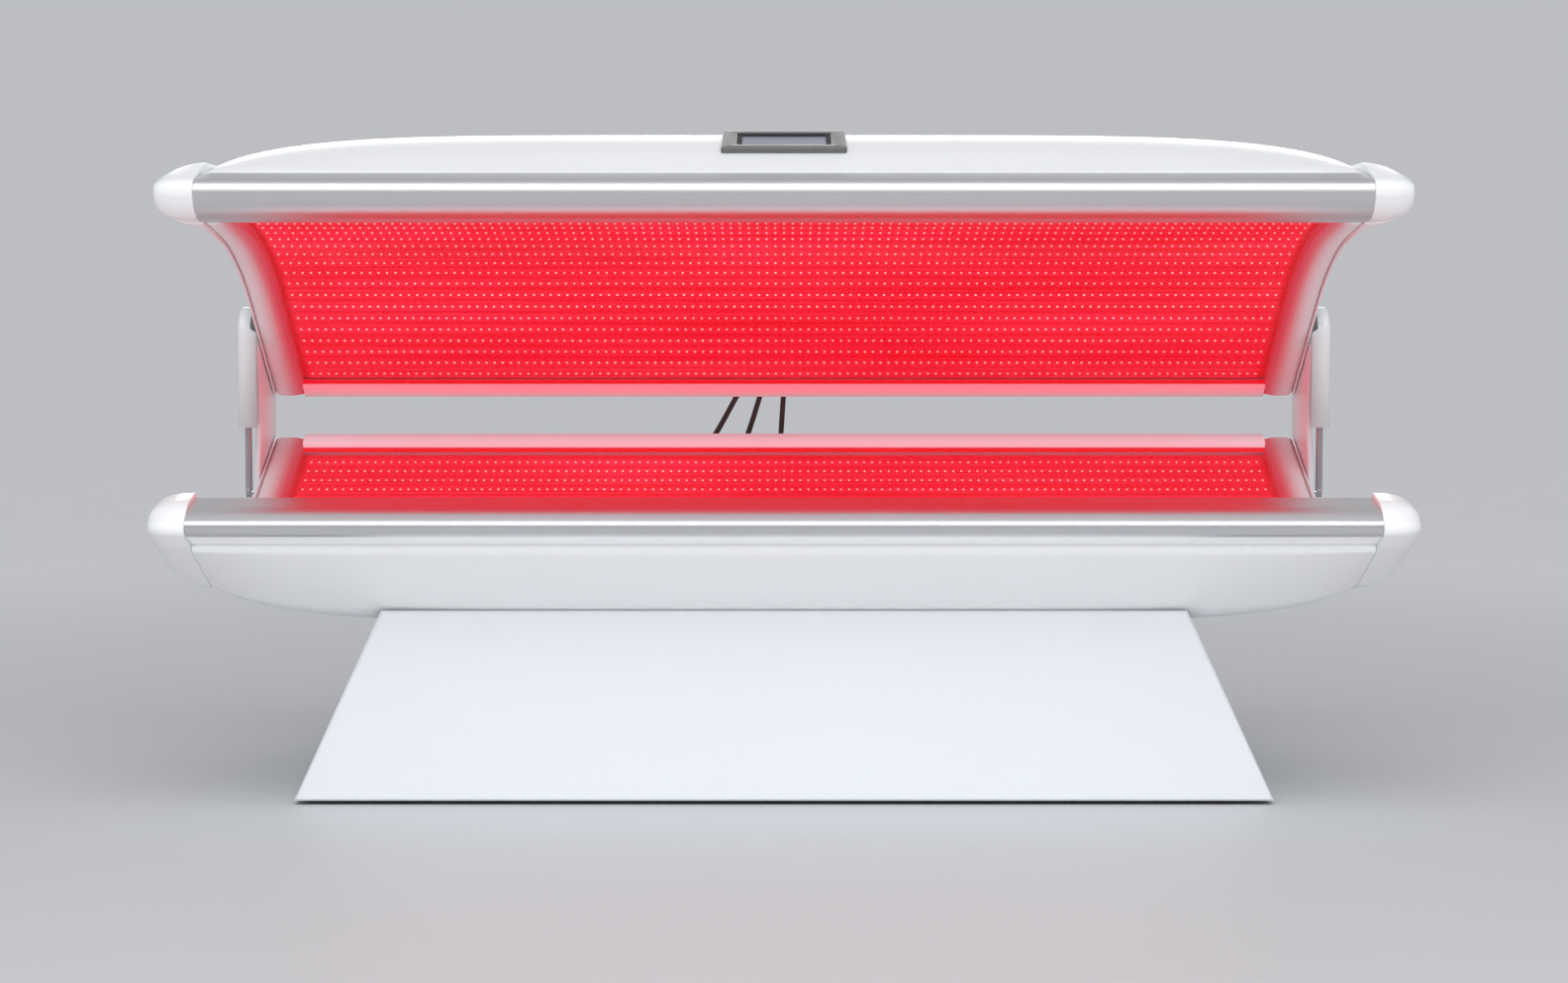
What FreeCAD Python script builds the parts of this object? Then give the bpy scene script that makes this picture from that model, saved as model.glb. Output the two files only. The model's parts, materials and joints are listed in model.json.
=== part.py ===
"""Red light therapy bed: a plinth, a bed half with a lit trough, and a lit canopy hinged at the rear.

Frame: origin on the floor at the middle of the bed, +Z up, the open front faces -Y, millimetres.
Most outlines lie in the side plane and are written as (depth behind the front nose, height above
the belly of the bed shell), then carried along X.
"""
import FreeCAD, Part
import math
import os

from FreeCAD import Placement, Rotation, Vector

SIZES = [
    # Overall
    ("overall_length", 1940), ("overall_depth", 820), ("belly_height", 285), ("cap_length", 62),
    ("fit_gap", 0.3), ("running_gap", 0.06),
    # Skins and bands shared by both halves
    ("shell_wall", 4), ("rail_wall", 3), ("plate_wall", 3), ("acrylic_thick", 4), ("arch_width", 52),
    ("arch_proud", 2), ("tray_thick", 2), ("board_thick", 1.6), ("board_width", 24), ("board_pitch", 33),
    ("board_count", 19), ("board_end_gap", 6), ("tray_gap", 18), ("rib_thick", 4), ("rib_spacing", 400),
    ("rib_count", 4), ("edge_radius", 2), ("foot_edge_radius", 3), ("horn_radius", 12),
    # Bed half, side outlines
    ("trough_front_d", 88), ("trough_front_w", 199), ("trough_low_d", 409), ("trough_low_w", 114),
    ("trough_rear_inset", 81), ("trough_rear_w", 275), ("trough_radius", 450),
    ("rail_top_w", 207), ("rail_knee_d", 27), ("rail_knee_w", 193), ("rail_nose_d", -10),
    ("rail_nose_w", 161),
    ("rail_foot_d", 51), ("rail_foot_w", 137), ("rail_back_w", 151), ("rail_knee_radius", 60),
    ("rail_nose_radius", 14), ("bed_horn_reach", 218), ("bed_horn_rise", 8), ("bed_horn_mid_d", 50),
    ("bed_horn_mid_w", 165), ("plate_start", 20),
    ("shoulder_d", 38), ("shoulder_w", 132.3), ("shoulder_radius", 12), ("shell_lip_d", 80),
    ("shell_lip_w", 144.3),
    ("belly_front_d", 196), ("belly_front_radius", 110), ("belly_rear_inset", 130),
    ("belly_rear_radius", 140),
    ("stern_inset", 2), ("stern_w", 145), ("stern_radius", 80), ("belly_taper", 6.5),
    ("belly_taper_reach", 62),
    ("rear_rail_front", 30), ("rear_rail_back", 6), ("rear_rail_proud", 8), ("rear_rail_deep", 14),
    ("bed_rib_front_d", 120), ("bed_rib_rear_inset", 75), ("bed_rib_step", 45),
    # Canopy half, side outlines
    ("arch_front_d", 164.2), ("arch_front_w", 632), ("arch_knee_d", 408), ("arch_knee_w", 593),
    ("arch_rear_inset", 82), ("arch_rear_w", 353), ("arch_radius", 600),
    ("brow_back_d", 163.8), ("brow_low_w", 633), ("brow_knee_d", 104), ("brow_knee_w", 637),
    ("brow_nose_d", 76), ("brow_nose_w", 683), ("brow_top_w", 711), ("brow_rail_proud", 2),
    ("brow_knee_radius", 48), ("brow_nose_radius", 22),
    ("canopy_horn_reach", 160), ("canopy_horn_mid_d", 112), ("canopy_horn_mid_w", 672),
    ("canopy_horn_crown_d", 190), ("canopy_horn_radius", 30),
    ("dome_front_w", 713), ("dome_crown_d", 275), ("dome_crown_w", 787), ("dome_front_radius", 430),
    ("dome_rear_inset", 25), ("dome_rear_radius", 365), ("dome_heel_w", 387), ("dome_heel_radius", 25),
    ("heel_lip", 8.2), ("dome_taper", 5.5), ("dome_taper_reach", 9),
    ("canopy_rib_front_d", 230), ("canopy_rib_front_drop", 45), ("canopy_rib_rear_inset", 120),
    ("canopy_rib_back_gap", 60), ("canopy_rib_back_rise", 60), ("canopy_rib_back_drop", 190),
    ("canopy_rib_back_radius", 60), ("canopy_rib_shoulder_in", 200), ("canopy_rib_shoulder_drop", 30),
    ("canopy_rib_shoulder_radius", 120), ("canopy_rib_crest_in", 120),
    # Hinge posts and struts
    ("pivot_inset", 130), ("pivot_w", 415), ("pin_radius", 10), ("bush_wall", 3), ("post_gap", 2),
    ("post_thick", 10),
    ("post_depth", 137), ("post_front_share", 0.66), ("post_set_back", 35), ("post_foot_w", 165),
    ("post_top_w", 470), ("post_foot_radius", 8), ("post_sweep", 250), ("post_crown", 40),
    ("seat_margin", 18), ("seat_radius", 6), ("lever_thick", 4), ("lever_gap", 1),
    ("lever_back", 65), ("lever_up", 40), ("lever_width", 26), ("strut_offset", 12), ("strut_length", 270),
    ("strut_radius", 6), ("strut_body", 150), ("strut_bore", 4.5), ("rod_radius", 3), ("rod_length", 175),
    ("bore_low", 25), ("seal_long", 8), ("piston_long", 8),
    ("stud_radius", 4), ("eye_radius", 11), ("low_eye_radius", 9), ("eye_slack", 2.3), ("eye_thick", 8),
    ("cover_low_w", 299), ("cover_top_w", 508), ("cover_front", 102), ("cover_rear", 56),
    ("cover_radius", 45),
    ("cover_deep", 22), ("cover_wall", 2.5), ("bolt_radius", 4), ("bolt_head_radius", 6.8),
    ("bolt_head_high", 4.8), ("bolt_front", 25), ("bolt_rear", 30), ("bolt_rise", 12),
    # Plinth
    ("panel_low", 6), ("panel_thick", 3), ("panel_bevel", 4), ("bevel_in", 3.2), ("plinth_front_d", 160),
    ("plinth_rear_inset", 180), ("plinth_foot_half", 776), ("plinth_lean", 0.4625), ("panel_top_gap", 3),
    ("tube", 40), ("tube_wall", 2), ("frame_half", 560), ("frame_inset", 90),
    ("pan_bottom", 14), ("pan_thick", 2), ("foot_radius", 25), ("foot_inset_x", 80), ("foot_inset_y", 50),
    ("supply_long", 215), ("supply_wide", 115), ("supply_high", 50), ("supply_pitch", 240),
    ("supply_count", 4), ("control_long", 180), ("control_wide", 120), ("control_high", 40),
    # Fans, switch, inlet
    ("fan_side", 92), ("fan_deep", 25), ("fan_bore", 43), ("fan_hub", 17), ("fan_tip", 41), ("fan_blades", 7),
    ("fan_spider", 3), ("spoke_wide", 6), ("shaft_radius", 2), ("shaft_end", 4), ("hub_gap", 0.5),
    ("hub_end", 5),
    ("blade_wide", 14), ("blade_thick", 1.5), ("blade_root", 3), ("blade_pitch", 50),
    ("plinth_fan_x", 300), ("plinth_fan_z", 150), ("canopy_fan_d", 470), ("canopy_fan_w", 648),
    ("vent_long", 66), ("vent_high", 6), ("vent_pitch", 13), ("vent_rows", 5),
    ("hoop_first", 13), ("hoop_pitch", 12), ("hoop_count", 3), ("guard_wire", 1.2), ("guard_bar", 1.3),
    ("switch_x", 120), ("switch_z", 120), ("switch_high", 28), ("switch_wide", 21), ("switch_deep", 18),
    ("switch_room", 14), ("bezel_rim", 3), ("bezel_lip", 2), ("rocker_radius", 10.5), ("rocker_wide", 14),
    ("rocker_tilt", 10), ("rocker_gap", 0.5), ("rocker_pin", 1.5), ("rocker_pin_gap", 0.4),
    ("rocker_root", 6), ("rocker_root_half", 8), ("rocker_tip", 2.5), ("rocker_tip_half", 9.8),
    ("rocker_waist", 2.2),
    ("inlet_x", 190), ("inlet_wide", 48), ("inlet_high", 28), ("inlet_deep", 24), ("inlet_rim", 4),
    ("inlet_wall", 4),
    ("prong_wide", 2), ("prong_long", 14), ("prong_high", 8), ("prong_pitch", 10), ("prong_seat", 1),
    # Display
    ("display_wide", 200), ("display_deep", 130), ("display_high", 16), ("display_mid_d", 282),
    ("screen_wide", 150), ("screen_deep", 86), ("screen_thick", 2), ("display_rise", 4),
    # Cables
    ("cable_radius", 5), ("cable_bend_share", 0.45), ("gland_radius", 8),
]

doc = FreeCAD.newDocument("red_light_bed")
sheet = doc.addObject("Spreadsheet::Sheet", "Sizes")
for row, (alias, value) in enumerate(SIZES, start=1):
    sheet.set(f"A{row}", alias)
    sheet.set(f"B{row}", str(value))
    sheet.setAlias(f"B{row}", alias)
doc.recompute()

# Spans along X, as expressions of the sheet
FIELD_LENGTH = "Sizes.overall_length - 2 * Sizes.cap_length - 2 * Sizes.arch_width - 2 * Sizes.fit_gap"
FIELD_START = "-(Sizes.overall_length / 2 - Sizes.cap_length - Sizes.arch_width - Sizes.fit_gap)"
RAIL_LENGTH = "Sizes.overall_length - 2 * Sizes.cap_length"
RAIL_START = "-(Sizes.overall_length / 2 - Sizes.cap_length)"
ARCH_START = "(Sizes.overall_length / 2 - Sizes.cap_length - Sizes.arch_width)"
END_START = "(Sizes.overall_length / 2 - Sizes.cap_length)"

NODES = []


def size(alias):
    """A driving dimension from the sheet, in millimetres."""
    return float(sheet.get(alias))


LENGTH = size("overall_length")
DEPTH = size("overall_depth")
BELLY = size("belly_height")
GAP = size("fit_gap")
RAIL_HALF = LENGTH / 2 - size("cap_length")
FIELD_HALF = RAIL_HALF - size("arch_width")
PIVOT_D = DEPTH - size("pivot_inset")
SIDES = (("left", -1), ("right", 1))
OVERRUN = 1.0  # how far a cutting shape passes the piece it cuts
NEARLY_ROUND = 0.98  # share of a full round at a bar's end, which leaves the corners a little apart


def keep(item, label):
    """Names a finished object as a node of the part."""
    item.Label = label
    NODES.append(item)
    return item


def at(d, w, radius=0.0):
    """An outline corner: depth behind the nose and height above the belly, as (y, z, radius)."""
    return (d - DEPTH / 2, w + BELLY, radius)


# Outlines: lists of corners, each with the radius that rounds it


def left_normal(start, end):
    """Unit normal to the left of the run from start to end."""
    run_y, run_z = end[0] - start[0], end[1] - start[1]
    reach = math.hypot(run_y, run_z)
    return -run_z / reach, run_y / reach


def offset(corners, shift, closed=False, least_radius=1.0):
    """Moves an outline to its left by shift, keeping its runs parallel."""
    moved = []
    last = len(corners) - 1
    for index, corner in enumerate(corners):
        normals = []
        if closed or index > 0:
            normals.append(left_normal(corners[index - 1], corner))
        if closed or index < last:
            normals.append(left_normal(corner, corners[(index + 1) % len(corners)]))
        first, second = normals[0], normals[-1]
        share = shift / (1 + first[0] * second[0] + first[1] * second[1])
        turn = first[0] * second[1] - first[1] * second[0]
        radius = corner[2]
        if radius > 0:
            radius = max(radius - math.copysign(shift, turn * shift), least_radius)
        moved.append((corner[0] + (first[0] + second[0]) * share,
                      corner[1] + (first[1] + second[1]) * share, radius))
    return moved


def runs(corners, closed=True):
    """Straight runs and tangent arcs of a rounded outline, as tuples of two or three (y, z) points."""
    count = len(corners)
    entries = []
    for index, (y, z, radius) in enumerate(corners):
        if radius <= 0 or (not closed and index in (0, count - 1)):
            entries.append(((y, z), None, (y, z)))
            continue
        before, after = corners[index - 1], corners[(index + 1) % count]
        back = Vector(before[0] - y, before[1] - z, 0).normalize()
        ahead = Vector(after[0] - y, after[1] - z, 0).normalize()
        half = back.getAngle(ahead) / 2
        reach = radius / math.tan(half)
        middle = (back + ahead).normalize() * (radius / math.sin(half) - radius)
        entries.append(((y + back.x * reach, z + back.y * reach), (y + middle.x, z + middle.y),
                        (y + ahead.x * reach, z + ahead.y * reach)))
    pieces = []
    for index, (start, middle, end) in enumerate(entries):
        if middle is not None:
            pieces.append((start, middle, end))
        if closed or index < count - 1:
            following = entries[(index + 1) % count][0]
            if math.dist(end, following) > 1e-6:
                pieces.append((end, following))
    return pieces


def curves(corners, place, closed=True):
    """Geometry of an outline, with each (y, z) point put where place says."""
    made = []
    for piece in runs(corners, closed):
        points = [place(*point) for point in piece]
        made.append(Part.LineSegment(*points) if len(points) == 2 else Part.Arc(*points))
    return made


def wire_at(corners, x):
    """Closed wire of an outline in the side plane at x."""
    return Part.Wire([curve.toShape() for curve in curves(corners, lambda y, z: Vector(x, y, z))])


def along(path, reach, shift):
    """Point and slope on a rounded three-corner path, reach along it and shifted to its left."""
    first, bend, last = path
    enter, arc_end = runs(path, closed=False)[1][0], runs(path, closed=False)[1][2]
    straight = math.dist(first[:2], enter)
    slope_in = math.atan2(bend[1] - first[1], bend[0] - first[0])
    slope_out = math.atan2(last[1] - bend[1], last[0] - bend[0])
    turn = slope_out - slope_in
    arc = bend[2] * abs(turn)
    if reach <= straight:
        slope, y, z = slope_in, first[0] + reach * math.cos(slope_in), first[1] + reach * math.sin(slope_in)
    elif reach <= straight + arc:
        slope = slope_in + turn * (reach - straight) / arc
        hand = math.copysign(bend[2], turn)
        y = enter[0] + hand * (math.sin(slope) - math.sin(slope_in))
        z = enter[1] - hand * (math.cos(slope) - math.cos(slope_in))
    else:
        slope, rest = slope_out, reach - straight - arc
        y, z = arc_end[0] + rest * math.cos(slope_out), arc_end[1] + rest * math.sin(slope_out)
    return y - shift * math.sin(slope), z + shift * math.cos(slope), slope


def path_length(path):
    """Length of a rounded three-corner path."""
    straight_in, arc, straight_out = runs(path, closed=False)
    turn = 2 * math.atan(math.dist(straight_in[1], path[1][:2]) / path[1][2])
    return math.dist(*straight_in) + path[1][2] * turn + math.dist(*straight_out)


def cut_ends(path, front, rear):
    """Shortens a path by front at its start and by rear at its end, along its end runs."""
    first, bend, last = path
    lead = Vector(bend[0] - first[0], bend[1] - first[1], 0).normalize() * front
    tail = Vector(bend[0] - last[0], bend[1] - last[1], 0).normalize() * rear
    return [(first[0] + lead.x, first[1] + lead.y, 0), bend, (last[0] + tail.x, last[1] + tail.y, 0)]


def upright_start(path, moved):
    """Slides the start of a moved path along its run until it stands over the path's own start."""
    slope = (path[1][1] - path[0][1]) / (path[1][0] - path[0][0])
    return [(path[0][0], moved[0][1] + slope * (path[0][0] - moved[0][0]), 0)] + moved[1:]


def band(path, low, high):
    """Closed outline of a strip that follows a path between two offsets, with an upright front end."""
    below, above = upright_start(path, offset(path, low)), upright_start(path, offset(path, high))
    return below + above[::-1]


# Ways of making a piece


def prism(label, outlines, start, length, plane="YZ_Plane", node=True):
    """A body padded from closed outlines, from start over length along the plane's axis."""
    body = doc.addObject("PartDesign::Body", label + "_body")
    sketch = body.newObject("Sketcher::SketchObject", label + "_outline")
    support = [item for item in body.Origin.OriginFeatures if item.Role == plane][0]
    sketch.AttachmentSupport = [(support, "")]
    sketch.MapMode = "FlatFace"
    for outline in outlines:
        for curve in curves(outline, lambda u, v: Vector(u, v, 0)):
            sketch.addGeometry(curve, False)
    pad = body.newObject("PartDesign::Pad", label + "_pad")
    pad.Profile = sketch
    pad.setExpression("Length", length)
    pad.Reversed = plane == "XZ_Plane"
    axis = {"YZ_Plane": "x", "XZ_Plane": "y", "XY_Plane": "z"}[plane]
    body.setExpression(f"Placement.Base.{axis}", start)
    return keep(body, label) if node else body


def side_prism(label, side, outlines, inner, thick, node=True):
    """A prism along X that starts at the distance inner from the middle, on one side."""
    start = f"{inner}" if side > 0 else f"-({inner}) - ({thick})"
    return prism(label, outlines, start, thick, node=node)


def block(corner, extent, name="block"):
    """A box with its low corner and its extent given as expressions of the sheet."""
    item = doc.addObject("Part::Box", name)
    for key, text in zip(("Length", "Width", "Height"), extent):
        item.setExpression(key, text)
    for key, text in zip("xyz", corner):
        item.setExpression(f"Placement.Base.{key}", text)
    return item


def rod(centre, direction, radius, length, name="rod"):
    """A cylinder from centre along direction, its radius and length expressions of the sheet."""
    item = doc.addObject("Part::Cylinder", name)
    item.setExpression("Radius", radius)
    item.setExpression("Height", length)
    item.Placement = Placement(Vector(*centre), Rotation(Vector(0, 0, 1), Vector(*direction)))
    return item


def join(label, items, node=True):
    """One solid fused from several."""
    item = doc.addObject("Part::MultiFuse", label + "_joined")
    item.Shapes = items
    return keep(item, label) if node else item


def cut(label, base, tools, node=True):
    """A solid with the tools taken out of it."""
    tool = tools[0] if len(tools) == 1 else join(label + "_tools", tools, node=False)
    item = doc.addObject("Part::Cut", label + "_cut")
    item.Base = base
    item.Tool = tool
    return keep(item, label) if node else item


def group(label, items):
    """Several separate solids under one node."""
    item = doc.addObject("Part::Compound", label + "_group")
    item.Links = items
    return keep(item, label)


def shaped(label, shape, node=True):
    """A piece whose form neither a body nor a primitive gives."""
    item = doc.addObject("Part::Feature", label + "_form")
    item.Shape = shape
    return keep(item, label) if node else item


# Side outlines shared by several pieces

TROUGH = [at(size("trough_front_d") + GAP, size("trough_front_w")),
          at(size("trough_low_d"), size("trough_low_w"), size("trough_radius")),
          at(DEPTH - size("trough_rear_inset"), size("trough_rear_w"))]
VAULT = [at(size("arch_front_d"), size("arch_front_w")),
         at(size("arch_knee_d"), size("arch_knee_w"), size("arch_radius")),
         at(DEPTH - size("arch_rear_inset"), size("arch_rear_w"))]
BED_RAIL = [at(size("trough_front_d"), size("rail_top_w"), size("edge_radius")),
            at(size("rail_knee_d"), size("rail_knee_w"), size("rail_knee_radius")),
            at(size("rail_nose_d"), size("rail_nose_w"), size("rail_nose_radius")),
            at(size("rail_foot_d"), size("rail_foot_w"), size("foot_edge_radius")),
            at(size("trough_front_d"), size("rail_back_w"), size("foot_edge_radius"))]
BROW_RAIL = [at(size("brow_back_d"), size("brow_low_w"), size("edge_radius")),
             at(size("brow_knee_d"), size("brow_knee_w"), size("brow_knee_radius")),
             at(size("brow_nose_d"), size("brow_nose_w"), size("brow_nose_radius")),
             at(size("brow_back_d"), size("brow_top_w"), size("edge_radius"))]


def belly_depth(x):
    """How deep the belly hangs at x, as a share of its depth in the middle."""
    reach = RAIL_HALF + size("belly_taper_reach")
    return math.sqrt(1 - (abs(x) / reach) ** size("belly_taper"))


def dome_height(x):
    """How high the dome stands at x, as a share of its height in the middle."""
    reach = RAIL_HALF + size("dome_taper_reach")
    return math.sqrt(1 - (abs(x) / reach) ** size("dome_taper"))


def stern_end():
    """Where the bed shell ends: its inside passes the rear face of the rear rail with a gap."""
    _, low, high, _ = rear_rail(TROUGH, -size("rear_rail_deep"), size("rear_rail_proud"))
    stern = at(DEPTH - size("stern_inset"), size("stern_w"))
    _, end_z, _ = at(0, size("trough_rear_w"))
    level = (low[0] + (high[0] - low[0]) * (end_z - low[1]) / (high[1] - low[1]), end_z)
    leans = []
    for y, z in (low[:2], level):
        clear = math.asin((size("shell_wall") + GAP) / math.dist((y, z), stern[:2]))
        leans.append(math.atan2(z - stern[1], y - stern[0]) - clear)
    return stern[0] + (end_z - stern[1]) / math.tan(min(leans)), end_z, 0


def belly_path(x):
    """Outside of the bed shell at x, from under the front rail round the belly to the rear rail."""
    share = belly_depth(x)
    floor = size("rail_foot_w") * (1 - share)
    return [at(size("shell_lip_d"), size("shell_lip_w")),
            at(size("shoulder_d"), size("shoulder_w"), size("shoulder_radius") * share),
            at(size("belly_front_d"), floor, size("belly_front_radius") * share),
            at(DEPTH - size("belly_rear_inset"), floor, size("belly_rear_radius") * share),
            at(DEPTH - size("stern_inset"), size("stern_w"), size("stern_radius")), stern_end()]


def dome_path(x):
    """Outside of the canopy shell at x, from above the front rail over the crown to the rear rail."""
    share = dome_height(x)
    rim = size("brow_top_w")
    front = rim + (size("dome_front_w") - rim) * share
    crown = rim + (size("dome_crown_w") - rim) * share
    heel = size("dome_heel_w")
    rear_radius = size("dome_rear_radius") * (crown - heel) / (size("dome_crown_w") - heel)
    rear = DEPTH - size("dome_rear_inset")
    return [at(size("brow_back_d"), front), at(size("dome_crown_d"), crown, size("dome_front_radius")),
            at(rear, crown, rear_radius), at(rear, heel, size("dome_heel_radius")),
            at(DEPTH - size("arch_rear_inset") + size("rear_rail_back") + size("heel_lip"),
               size("arch_rear_w") + size("heel_lip"))]


def rib_places():
    """Places of the cross ribs along X."""
    count = int(size("rib_count"))
    return [(index - (count - 1) / 2) * size("rib_spacing") for index in range(count)]


def stations():
    """Places along X where a shell's section is drawn, closer together towards its ends."""
    shares = (0.35, 0.55, 0.7, 0.82, 0.91, 0.97, 1.0)
    half = sorted([RAIL_HALF * share for share in shares] + [x for x in rib_places() if x > 0])
    return [-x for x in half[::-1]] + [0.0] + half


def skin(label, path_at, inward):
    """A thin shell between an outside path and the same path moved inward, carried along X."""
    wires = []
    for x in stations():
        outside = path_at(x)
        wires.append(wire_at(outside + offset(outside, inward)[::-1], x))
    return shaped(label, Part.makeLoft(wires, True, True))


def cap_swell(share):
    """How much of its section a cap keeps at a share of its length: all at the shell, less at its end."""
    roundness, end_share = 2.4, 0.45
    return (1 - (1 - end_share ** roundness) * share ** roundness) ** (1 / roundness)


def cap(label, side, horn, centre, plate, vents=()):
    """An end cap: a plate that closes the end, with its vent slots, and a horn over the front corner."""
    wires = []
    for share in (0.0, 0.25, 0.45, 0.62, 0.76, 0.87, 0.95, 1.0):
        keep_share = cap_swell(share)
        section = [(centre[0] + (y - centre[0]) * keep_share, centre[1] + (z - centre[1]) * keep_share,
                    radius * keep_share) for y, z, radius in horn]
        wires.append(wire_at(section, side * (RAIL_HALF + share * size("cap_length"))))
    solid = Part.makeLoft(wires, True, True)
    wall = Part.Face(wire_at(plate, side * RAIL_HALF)).extrude(Vector(side * size("plate_wall"), 0, 0))
    solid = solid.fuse(wall).removeSplitter()
    for y, z in vents:
        opening = Part.makeBox(4 * size("plate_wall"), size("vent_long"), size("vent_high"))
        low_y, low_z = y - size("vent_long") / 2, z - size("vent_high") / 2
        opening.translate(Vector(side * RAIL_HALF - 2 * size("plate_wall"), low_y, low_z))
        solid = solid.cut(opening)
    return shaped(label, solid)


# Bed half


def crossing(start, end, d):
    """Height of the run between two outline corners at a depth behind the nose."""
    y = d - DEPTH / 2
    return start[1] + (end[1] - start[1]) * (y - start[0]) / (end[0] - start[0])


def rear_rail(path, low, high):
    """Outline of a rear rail that lies across the end of a path."""
    end, before = path[2], path[1]
    lean = Vector(end[0] - before[0], end[1] - before[1], 0).normalize()
    rise = Vector(-lean.y, lean.x, 0)
    corners = []
    for reach, shift in ((-size("rear_rail_front"), low), (size("rear_rail_back"), low),
                         (size("rear_rail_back"), high), (-size("rear_rail_front"), high)):
        corners.append((end[0] + lean.x * reach + rise.x * shift, end[1] + lean.y * reach + rise.y * shift,
                        size("foot_edge_radius")))
    return corners


def boards(label, path, low):
    """Flat LED boards that lie in rows along a curved tray."""
    items = []
    rest = (path_length(path) - (size("board_count") - 1) * size("board_pitch")) / 2
    for row in range(int(size("board_count"))):
        y, z, slope = along(path, rest + row * size("board_pitch"), low)
        item = doc.addObject("Part::Box", f"{label}_{row}")
        item.setExpression("Length", FIELD_LENGTH + " - 2 * Sizes.board_end_gap")
        item.setExpression("Width", "Sizes.board_width")
        item.setExpression("Height", "Sizes.board_thick")
        turn = Rotation(Vector(1, 0, 0), math.degrees(slope))
        corner = turn.multVec(Vector(0, -size("board_width") / 2, 0))
        item.Placement = Placement(Vector(size("board_end_gap") + GAP - FIELD_HALF, y, z) + corner, turn)
        items.append(item)
    return group(label, items)


def ribs(label, outline_at):
    """Upright cross plates that carry a tray inside its shell."""
    items = []
    for index, x in enumerate(rib_places()):
        start = f"{x} - Sizes.rib_thick / 2"
        items.append(prism(f"{label}_{index}", [outline_at(x)], start, "Sizes.rib_thick", node=False))
    return group(label, items)


def rail(label, outline, inward):
    """A hollow front rail."""
    return prism(label, [outline, offset(outline, inward, closed=True)], RAIL_START, RAIL_LENGTH)


def bed_rib_outline(x):
    """A bed rib at x, between the shell and the tray."""
    inner = offset(belly_path(x), size("shell_wall") + GAP)
    front_d, rear_d = size("bed_rib_front_d"), DEPTH - size("bed_rib_rear_inset")
    step_d = rear_d - size("bed_rib_step")
    top = offset(TROUGH, -size("tray_gap") - size("tray_thick") - GAP)
    return [(front_d - DEPTH / 2, crossing(inner[1], inner[2], front_d), 0), inner[2], inner[3],
            (rear_d - DEPTH / 2, crossing(inner[3], inner[4], rear_d), 0),
            (step_d - DEPTH / 2, crossing(top[1], top[2], step_d), 0), top[1],
            (front_d - DEPTH / 2, crossing(top[0], top[1], front_d), 0)]


def build_bed():
    """The bed half: shell, caps, rails, arches, acrylic, LED tray and boards, ribs."""
    skin("bed_shell", belly_path, size("shell_wall"))
    rail("bed_front_rail", BED_RAIL, size("rail_wall"))
    rear = rear_rail(TROUGH, -size("rear_rail_deep"), size("rear_rail_proud"))
    prism("bed_rear_rail", [rear], FIELD_START, FIELD_LENGTH)
    field = cut_ends(TROUGH, 0, size("rear_rail_front") + GAP)
    prism("bed_acrylic", [band(field, -size("acrylic_thick"), 0)], FIELD_START, FIELD_LENGTH)
    tray_top = -size("tray_gap")
    tray = band(field, tray_top - size("tray_thick"), tray_top)
    prism("bed_led_tray", [tray], FIELD_START, FIELD_LENGTH)
    boards("bed_led_boards", field, tray_top + GAP)
    ribs("bed_ribs", bed_rib_outline)
    arch = band(TROUGH, tray_top - size("tray_thick"), size("arch_proud"))
    end_path = belly_path(RAIL_HALF)
    rim = offset(TROUGH, size("arch_proud"))
    inner_y, inner_z, _ = along(rim, size("bed_horn_reach"), 0)
    crest = [(y, z + size("bed_horn_rise"), radius) for y, z, radius in BED_RAIL[:2]]
    horn = crest + BED_RAIL[2:3] + end_path[1:3]
    horn += [(inner_y, end_path[2][1], size("horn_radius")), (inner_y, inner_z, size("horn_radius")), rim[0]]
    centre = at(size("bed_horn_mid_d"), size("bed_horn_mid_w"))
    plate = [centre] + end_path[2:] + cut_ends(rim, size("plate_start"), 0)[::-1]
    for name, side in SIDES:
        side_prism(f"bed_{name}_arch", side, [arch], ARCH_START, "Sizes.arch_width")
        cap(f"bed_{name}_cap", side, horn, centre, plate)


# Canopy half


def canopy_rib_outline(x):
    """A canopy rib at x, between the tray and the dome."""
    inner = offset(dome_path(x), -size("shell_wall") - GAP)
    low = offset(VAULT, size("tray_gap") + size("tray_thick") + GAP)
    front_d, rear_d = size("canopy_rib_front_d"), DEPTH - size("canopy_rib_rear_inset")
    crown, rear_low = inner[1][1], crossing(low[1], low[2], rear_d)
    back_y = inner[2][0] - size("canopy_rib_back_gap")
    shoulder_y = inner[2][0] - size("canopy_rib_shoulder_in")
    return [(front_d - DEPTH / 2, crossing(low[0], low[1], front_d), 0), low[1],
            (rear_d - DEPTH / 2, rear_low, 0), (back_y, rear_low + size("canopy_rib_back_rise"), 0),
            (back_y, crown - size("canopy_rib_back_drop"), size("canopy_rib_back_radius")),
            (shoulder_y, crown - size("canopy_rib_shoulder_drop"), size("canopy_rib_shoulder_radius")),
            (inner[1][0] + size("canopy_rib_crest_in"), crown - GAP, 0),
            (front_d - DEPTH / 2, crown - size("canopy_rib_front_drop"), 0)]


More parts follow.
